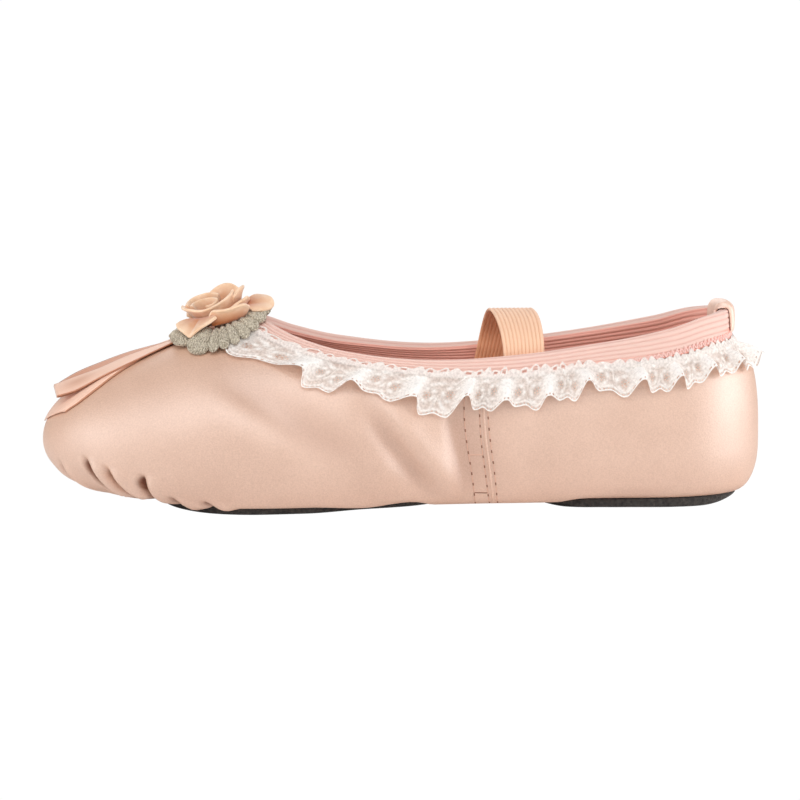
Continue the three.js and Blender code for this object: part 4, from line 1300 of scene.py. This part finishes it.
# %% Heel tab
TAB_HALF_WIDTH = 11
TAB_PROFILE = (  # distance down the wall and offset of each corner
    (6.8, 1.6), (6.8, 2.6), (1, 2.9), (-1.8, 2.4), (-3.4, 0.4), (-3.6, -0.8), (-3.2, -2.4), (-1.6, -3.8),
    (1, -4.2), (5.5, -4), (5.5, -3), (0, -3), (-1.3, -2.55), (-1.6, -0.7), (-1.3, 1.15), (0, 1.6),
)
TAB_EDGE, TAB_TUCK = 0.9, 0.25  # the tab's outer face is tucked in at both ends


def cut_corners(loop, times):
    """A closed line with its corners cut, so that it turns smoothly."""
    for _ in range(times):
        after = np.roll(loop, -1, axis=0)
        loop = np.stack([mix(loop, after, 0.25), mix(loop, after, 0.75)], axis=1).reshape(-1, 2)
    return loop


tab_loop = cut_corners(np.array(TAB_PROFILE, float), 2)
tab_half_angle = TAB_HALF_WIDTH / last_normal(np.pi, 0.05)[1]


def lay_tab(across, along):
    corner = np.round(along * len(tab_loop)).astype(int) % len(tab_loop)
    distance, offset = tab_loop[corner].T
    edge = np.abs(2 * across - 1)
    tuck = 1 - TAB_TUCK * smooth(edge, TAB_EDGE, 1.0) ** 2
    offset = mix(-WALL / 2, offset, np.where((edge > TAB_EDGE) & (offset > 1.8), tuck, 1))
    return beside_collar(np.pi + (2 * across - 1) * tab_half_angle, distance, offset)


heel_tab, _ = laid_grid("satin_heel_tab", 40, len(tab_loop), lay_tab)
close_seams(heel_tab, capped=True)
dress(heel_tab, satin("rolled satin tab", "#FBD3BD", "#F2C3AA"), "satin", "heel_tab")

# %% [markdown]
# ## Ribbon bow
# A narrow satin ribbon in a deeper peach comes out from under the rose. On each side a tail lies down on the
# toe and ends in a slanted cut, and a flat loop lies over it. Each long edge of the ribbon is drawn as a thin
# darker line, and painted shade darkens the lower layer and the pinched middle of each loop.

# %% Ribbon
RIBBON_EDGE = 0.03
RIBBON_GRAINS = 24.0  # patches of grain across the ribbon


def ribbon(name, light, shade, edge):
    """Woven satin ribbon: a fine lengthwise grain, darker along both long edges, with painted shade where it
    is pinched.
    """
    material, tree = new_material(name)
    across = cloth_map(tree)["X"]
    grain = add_node(tree, "ShaderNodeTexNoise", {"W": across, "Scale": RIBBON_GRAINS, "Detail": 2.0},
                     noise_dimensions="1D")
    woven = two_tones(tree, grain.outputs[0], shade, light, 0.3, 0.7)
    aside = reckon(tree, "ABSOLUTE", reckon(tree, "SUBTRACT", across, 0.5))
    edged = blend(tree, reckon(tree, "GREATER_THAN", aside, 0.5 - RIBBON_EDGE), woven, edge)
    shader = add_node(tree, "ShaderNodeBsdfPrincipled", {
        "Base Color": blend(tree, painted(tree, "painted_shade"), edged, edge),
        "Roughness": 0.45, "Specular IOR Level": 0.35, "Sheen Weight": 0.1,
    })
    return finish_material(material, shader)


ribbon_satin = ribbon("peach satin ribbon", "#F3CEB9", "#EABEA7", "#C98F72")
# The reverse's darker colours are painted shade: they go on each loop's lower layer, inside the loop.
shaded_ribbon_back = ribbon("reverse of the ribbon", "#D9A085", "#CC9075", "#A8735A")
print("made", ribbon_satin.name, "and", shaded_ribbon_back.name)

# %% Shape of a tail
TAIL_ROWS = (0.10, 0.214, 0.355, 0.508, 0.656, 0.722)
TAIL_ANGLES = (0.05, 0.07, 0.171, 0.243, 0.265, 0.232)  # the outer edge swings out, then in again at the cut
TAIL_MIDDLE, TAIL_END = 0.008, 0.856  # angle of the inner edge, and row of the cut's tip on it
TAIL_SMOOTH = 0.6  # the outer edge runs between straight pieces at 0 and a smooth line at 1
TAIL_OFF, TAIL_LIFT = 0.5, 1.3  # towards its outer edge the tail stands off the satin
TAIL_TURNED, TAIL_EDGE = 0.9, 0.25  # from here out the edge is turned down to the satin


def through(points, share):
    """A smooth line through points, at a share of the way along it."""
    points = np.array(points, float)
    place = np.clip(share, 0, 1) * (len(points) - 1)
    k = np.minimum(place.astype(int), len(points) - 2)
    t = (place - k)[:, None]
    before, here, there, after = (points[np.clip(k + n, 0, len(points) - 1)] for n in (-1, 0, 1, 2))
    slope_here, slope_there = (there - before) / 2, (after - here) / 2
    start = (here * (1 + 2 * t) + slope_here * t) * (1 - t) ** 2
    return start + (there * (3 - 2 * t) - slope_there * (1 - t)) * t ** 2


def lay_tail(across, along, side):
    outer_row = mix(TAIL_ROWS[0], TAIL_ROWS[-1], along)
    smooth_angle = through(np.column_stack([TAIL_ROWS, TAIL_ANGLES]), along)[:, 1]
    outer_angle = mix(np.interp(outer_row, TAIL_ROWS, TAIL_ANGLES), smooth_angle, TAIL_SMOOTH)
    row = mix(mix(TAIL_ROWS[0], TAIL_END, along), outer_row, across)
    lift = TAIL_OFF + TAIL_LIFT * across ** 3 * (1 - 0.6 * along)
    lift = mix(lift, TAIL_EDGE, smooth(across, TAIL_TURNED, 1))
    return last_offset(on_side(mix(TAIL_MIDDLE, outer_angle, across), side), row, lift)


print("a tail runs from row", TAIL_ROWS[0], "to", TAIL_END)

# %% Shape of a loop
UNDER_INNER = ((-75.5, -1.0, 54.0), (-90.5, 0.4, 50.0), (-101, 0.8, 46.2), (-109, 0.2, 42.9),
               (-115.8, -2.4, 39.0))
UNDER_OUTER = ((-75.5, -4.2, 53.6), (-93.8, -10.4, 45.6), (-101, -11.6, 42.0), (-108, -12.2, 38.1),
               (-114, -12.4, 36.3))
OVER_INNER = ((-75.5, -2.2, 54.2), (-90.8, -3.6, 49.2), (-101, -4.4, 44.9), (-109, -4.2, 42.0),
              (-115.8, -3.4, 39.4))
OVER_OUTER = ((-75.5, -5.0, 53.9), (-93.8, -11.6, 45.9), (-101, -12.8, 42.4), (-108, -13.0, 38.7),
              (-114, -12.8, 36.8))
BELLY, BELLY_UNDER = 0.5, 0.4  # how far a layer swells, and the share of it for the lower one
LOOP_END = 0.5  # the turn at the end is rounded by this much
# Painted shade in the middle of the loop's upper layer, where it dips.
PINCH_SHADE, PINCH_AT, PINCH_LONG, PINCH_WIDE = 0.6, 0.72, 0.17, 0.3
FAR_LOOP = np.array((1.5, 1.0, -0.9))  # the loop on the far side sits a little back, out and lower


def lay_loop(across, along, side):
    """The lower layer runs out from the rose, turns at the end and comes back as the upper layer."""
    upper = along > 0.5
    share = np.where(upper, 2 - 2 * along, 2 * along)
    inner = np.where(upper[:, None], through(OVER_INNER, share), through(UNDER_INNER, share))
    outer = np.where(upper[:, None], through(OVER_OUTER, share), through(UNDER_OUTER, share))
    place = mix(inner, outer, across[:, None])
    place[:, 0] -= LOOP_END * fade(along - 0.5, 0.02)
    place[:, 2] += BELLY * np.sin(np.pi * across) * np.where(upper, 1, BELLY_UNDER) * smooth(share, 0.1, 0.6)
    return place if side < 0 else place * (1, -1, 1) + FAR_LOOP


def loop_pinch_shade(across, along):
    """How much painted shade darkens the colour where the upper layer is pinched in."""
    return PINCH_SHADE * bell(2 - 2 * along - PINCH_AT, PINCH_LONG) * bell(across - 0.5, PINCH_WIDE) * (along > 0.5)


print("a loop ends at x", OVER_INNER[-1][0])

# %% Bow
RIBBON_THICKNESS = 0.4
for end, side in SIDES.items():
    tail, _ = laid_grid("ribbon_tail_" + end, 16, 60, lambda u, w: lay_tail(u, w, side))
    apply_modifier(tail, "thickness", "SOLIDIFY", thickness=RIBBON_THICKNESS * MM, offset=0)
    dress(tail, ribbon_satin, "ribbon_satin", "bow_tail_" + end)
    loop, loop_flat = laid_grid("ribbon_loop_" + end, 12, 120, lambda u, w: lay_loop(u, w, side))
    two_faced(loop, ribbon_satin, shaded_ribbon_back, face_means(loop, loop_flat[:, 1]) < 0.49)
    paint(loop, "painted_shade", loop_pinch_shade(loop_flat[:, 0], loop_flat[:, 1]))
    apply_modifier(loop, "thickness", "SOLIDIFY", thickness=RIBBON_THICKNESS * MM, offset=0)
    dress(loop, ribbon_satin, "ribbon_satin", "bow_loop_" + end)
    print("cloth of tail and loop in square millimetres:", round(area_of(tail) / 2), round(area_of(loop) / 2))

# %% [markdown]
# ## Crocheted frill
# Under the rose lies a ring of crocheted cotton, pulled together so that it stands up in puffs with narrow
# slits between them. A fat ring with a puffed outline gives the body, and one long strand of yarn is wound
# round it.

# %% Yarn
YARN_FUZZ = 0.0006


def yarn(name, light, shade):
    """Soft cotton yarn: pale, greyish and quite matt, mottled, with fuzz that blurs every edge."""
    material, tree = new_material(name)
    fuzz = grain_of(tree, YARN_FUZZ, 3.0)
    shader = add_node(tree, "ShaderNodeBsdfPrincipled", {
        "Base Color": two_tones(tree, fuzz, shade, light, 0.3, 0.62),
        "Roughness": 0.95, "Specular IOR Level": 0.1, "Sheen Weight": 0.3,
        "Normal": bumps(tree, fuzz, 0.8, 0.0004),
    })
    return finish_material(material, shader)


crochet_yarn = yarn("crochet yarn", "#DDD3C0", "#978974")
print("made", crochet_yarn.name)

# %% Shape of the frill
FRILL_SEAT = 1.3
FRILL_SLITS = (6, 20, 38, 60, 84, 106, 128, 150, 170, 186, 224, 255, 268, 281, 294, 308, 322, 338, 353)
FRILL_CENTRE, FRILL_HALF, FRILL_EDGE = 12.8, 4.6, 17
FRILL_LEVEL, FRILL_TALL, FRILL_BROAD = 1.2, 1.35, 1.1
DRAPE, DRAPE_AT, DRAPE_REACH = 1.3, math.radians(62), math.radians(40)
COMMON_PUFF = math.radians(17)
rose_row = 1 - (1 - (THROAT_X - ROSE_X) / VAMP_LENGTH) ** (1 / TOE_BULGE)
rose_foot = over_vamp(ROSE_X, 0, 0)[0]
rose_up = last_normal(0.0, rose_row)[0] * (1, 0, 1)
rose_up /= np.linalg.norm(rose_up)
rose_back = np.array([rose_up[2], 0, -rose_up[0]])
slits = np.radians([FRILL_SLITS[-1] - 360, *FRILL_SLITS, FRILL_SLITS[0] + 360])


def frill_point(turn, bend, grow):
    """A place on the puffed ring: turn round the rose, bend round the ring's own section."""
    turn = np.mod(turn, TURN)
    k = np.clip(np.searchsorted(slits, turn, side="right") - 1, 0, len(slits) - 2)
    wide = slits[k + 1] - slits[k]
    share = (turn - slits[k]) / wide
    puff = (4 * share * (1 - share)) ** 0.55
    fat = np.clip(wide / COMMON_PUFF, 0.85, 1.5)
    radius = FRILL_CENTRE + (FRILL_HALF * mix(0.5, 1.05, puff) * fat ** 0.15 + grow) * np.sin(bend)
    height = FRILL_LEVEL + (FRILL_TALL * mix(0.15, 1.15, puff) * fat + grow) * np.cos(bend)
    drape = DRAPE * fade(np.abs(turn - np.pi) - DRAPE_AT, DRAPE_REACH) * (radius / FRILL_EDGE) ** 2
    x = ROSE_X + radius * np.cos(turn) * rose_up[2]
    return over_vamp(x, FRILL_BROAD * radius * np.sin(turn), FRILL_SEAT - drape + height)


print("puffs round the frill:", len(FRILL_SLITS), "and the rose stands at", rose_foot.round(1))

# %% Frill
KNOBS_ROUND, KNOBS_ACROSS, KNOB = 104, 22, 0.36
YARN_TURNS, YARN_STEPS, YARN_RADIUS = 120, 36, 0.22
YARN_SWAYS, YARN_SWAY = 7, 0.03
YARN_KNOTS, YARN_OUT = 977, 0.12


def lay_frill(across, along):
    knob = KNOB * np.sin(TURN * KNOBS_ROUND * across) * np.sin(TURN * KNOBS_ACROSS * along)
    return frill_point(TURN * across, TURN * along, knob)


frill, _ = laid_grid("crochet_frill", 4 * KNOBS_ROUND, 4 * KNOBS_ACROSS, lay_frill)
close_seams(frill)
dress(frill, crochet_yarn, "crochet_yarn", "rose_frill")
coil = TURN * np.linspace(0, 1, YARN_TURNS * YARN_STEPS)
coil_turn = coil + YARN_SWAY * np.sin(coil * YARN_TURNS * YARN_SWAYS)
coil_line = frill_point(coil_turn, YARN_TURNS * coil, YARN_OUT * (1 + np.sin(coil * YARN_KNOTS)))
dress(threads("crochet_strand", [coil_line], YARN_RADIUS), crochet_yarn, "crochet_yarn")

# %% [markdown]
# ## Rose
# The rose is rolled from strips of thick soft cloth: a spiral in the middle, petals that stand round it with
# their rims turned out, and a few that lie flat on the frill. Each petal is a grid bent round the rose, given
# the thickness of the cloth and then subdivided, which rounds its rim.

# %% Rose cloth
FELT_DRIFT, FELT_NAP = 0.0025, 0.0006
PETAL_CLOTH = 1.05


def felt(name, light, shade, root):
    """Thick brushed cloth: peach, matt and slightly hairy, pale at the rim, with painted shade that deepens it
    to orange towards the foot of each petal.
    """
    material, tree = new_material(name)
    tone = two_tones(tree, grain_of(tree, FELT_DRIFT, 4.0), shade, light, 0.3, 0.7)
    height = add_node(tree, "ShaderNodeMapRange", {
        "Value": cloth_map(tree)["Y"], "From Min": 0.15, "From Max": 0.95})
    shader = add_node(tree, "ShaderNodeBsdfPrincipled", {
        "Base Color": blend(tree, height.outputs[0], root, tone), "Roughness": 0.9,
        "Specular IOR Level": 0.15, "Sheen Weight": 0.6, "Sheen Roughness": 0.5,
        "Normal": bumps(tree, grain_of(tree, FELT_NAP, 4.0), 0.5, 0.0002),
    })
    return finish_material(material, shader)


# The third colour is painted shade, which darkens each petal towards its foot.
rose_cloth = felt("peach brushed cloth", "#F8D9BC", "#EFC5A0", "#C27445")


def rolled(name, columns, rows, place, node):
    """A strip of rose cloth with its thickness and rounded rims."""
    piece, _ = laid_grid(name, columns, rows, place)
    apply_modifier(piece, "cloth", "SOLIDIFY", thickness=PETAL_CLOTH * MM, offset=0)
    apply_modifier(piece, "round", "SUBSURF", levels=2, render_levels=2)
    dress(piece, rose_cloth, "rose_cloth", node)


print("made", rose_cloth.name)

# %% Petals
PETALS = table(
    "root low bowl rim",
    (6.5, 3.4, 1.0, ((326, 6.8, 9.6), (348, 8.6, 11.4), (368, 10, 12), (388, 10.6, 11.4), (406, 9.6, 10))),
    (6.0, 3.4, 1.0, ((186, 9.6, 10.8), (164, 8.6, 11.8), (142, 6.9, 12.6), (108, 4.6, 12.6), (60, 3, 11.4))),
    (6.8, 3.4, 1.2, ((180, 10.4, 11.2), (206, 10.8, 10.3), (240, 8.8, 8.4), (284, 6.6, 9.4), (352, 6.4, 12))),
    (8.0, 3.8, 0.9, ((114, 9.4, 10.4), (94, 9.8, 12.4), (74, 10.2, 13.6), (54, 10.6, 13.2),
                     (34, 10.6, 10.8))),
    (8.0, 3.8, 0.9, ((112, 10, 7.4), (126, 11, 8.8), (142, 11.2, 9.2), (156, 10.6, 8.6), (168, 10, 7.2))),
    (9.6, 2.2, 0.5, ((252, 9.4, 5.6), (262, 10, 7.6), (284, 12, 7), (308, 14, 7.1), (324, 13.4, 5.4))),
    (8.4, 3.6, 0.9, ((300, 9, 6.4), (316, 10, 7.6), (330, 10.8, 8.2), (346, 11.2, 8.4), (362, 11, 7.2))),
    (8.6, 5.4, 1.0, ((208, 16.3, 6.2), (220, 17.3, 4.2), (234, 17.6, 2.4), (250, 15.2, 2.6),
                     (268, 12.4, 4.2))),
    (8.6, 5.0, 1.0, ((331, 13, 3), (336, 17, 2.4), (347, 19, 2.8), (358, 18.4, 5.6), (376, 14.6, 7.4))),
    (8.6, 4.6, 1.0, ((92, 14.6, 3.8), (104, 16.4, 3.4), (116, 17, 3.3), (130, 16.6, 3.5), (144, 14.8, 4.4))),
)
FLAT_PETALS, FLAT_SWELL = (8, 9, 10), 0.7
PETAL_LIP, LIP_FROM, LIP_DROOP = 0.5, 0.72, 0.35  # how far the rim rolls out, from where, and its fall
ROOT_TURN = 0.9  # a petal is a little narrower at its foot
UNEVEN = 0.22
TOE_PETAL, CREASE, CREASE_AT, CREASE_REACH = 8, 1.3, 0.46, 0.07  # this petal has a fold pressed into it
TOE_RISE = 1.2


def rose_point(radius, angle, height):
    out = rose_back * np.cos(angle)[:, None] + np.array([0, 1, 0]) * np.sin(angle)[:, None]
    return rose_foot + out * radius[:, None] + rose_up * height[:, None]


def lay_petal(across, along, petal, number):
    """A strip from a round foot to a rim that is drawn by five places: turn in degrees, radius and height."""
    turn, rim_radius, rim_height = through(petal["rim"], across).T
    root_turn = mix(petal["rim"][2][0], turn, ROOT_TURN)
    lip = PETAL_LIP * smooth(along, LIP_FROM, 1.0)
    radius = mix(petal["root"], rim_radius, along ** petal["bowl"])
    radius = radius + UNEVEN * np.sin(9 * across + 2.3 * number) * along
    height = mix(petal["low"], rim_height, along) - LIP_DROOP * lip
    if number == TOE_PETAL:
        height = height - CREASE * bell(across - CREASE_AT, CREASE_REACH) * smooth(along, 0.15, 0.6)
        height = height + TOE_RISE * smooth(across, 0.5, 0.75) * smooth(along, LIP_FROM, 1.0)
    if number in FLAT_PETALS:
        height = height + FLAT_SWELL * np.sin(np.pi * along)
    else:
        radius = radius + lip
    return rose_point(radius, np.radians(mix(root_turn, turn, along)), height)


for number, petal in enumerate(PETALS, 1):
    rolled("cloth_petal_" + str(number), 20, 10, lambda u, w: lay_petal(u, w, petal, number),
           "rose_petal_" + str(number))

# %% Rolled middle
CORE_RIM = ((-8.2, 2.2, 10.2), (-7.2, -0.6, 10.8), (-4.2, -2.2, 11.1), (-0.6, -1.8, 10.8), (0.9, 0.6, 10.0),
            (-1.0, 1.9, 9.0), (-3.4, 0.8, 8.8))
CORE_LOW, CORE_FOOT = 3.4, 0.6


def lay_core(across, along):
    """A strip wound inside the cup. Its rim is drawn by places back, near and up from the rose's foot."""
    back, near, high = through(CORE_RIM, across).T
    foot = mix(CORE_FOOT, 1, along)
    spot = rose_back * (back * foot)[:, None] + np.array([0, -1, 0]) * (near * foot)[:, None]
    return rose_foot + spot + rose_up * mix(CORE_LOW, high, along)[:, None]


rolled("cloth_core", 60, 8, lay_core, "rose_core")
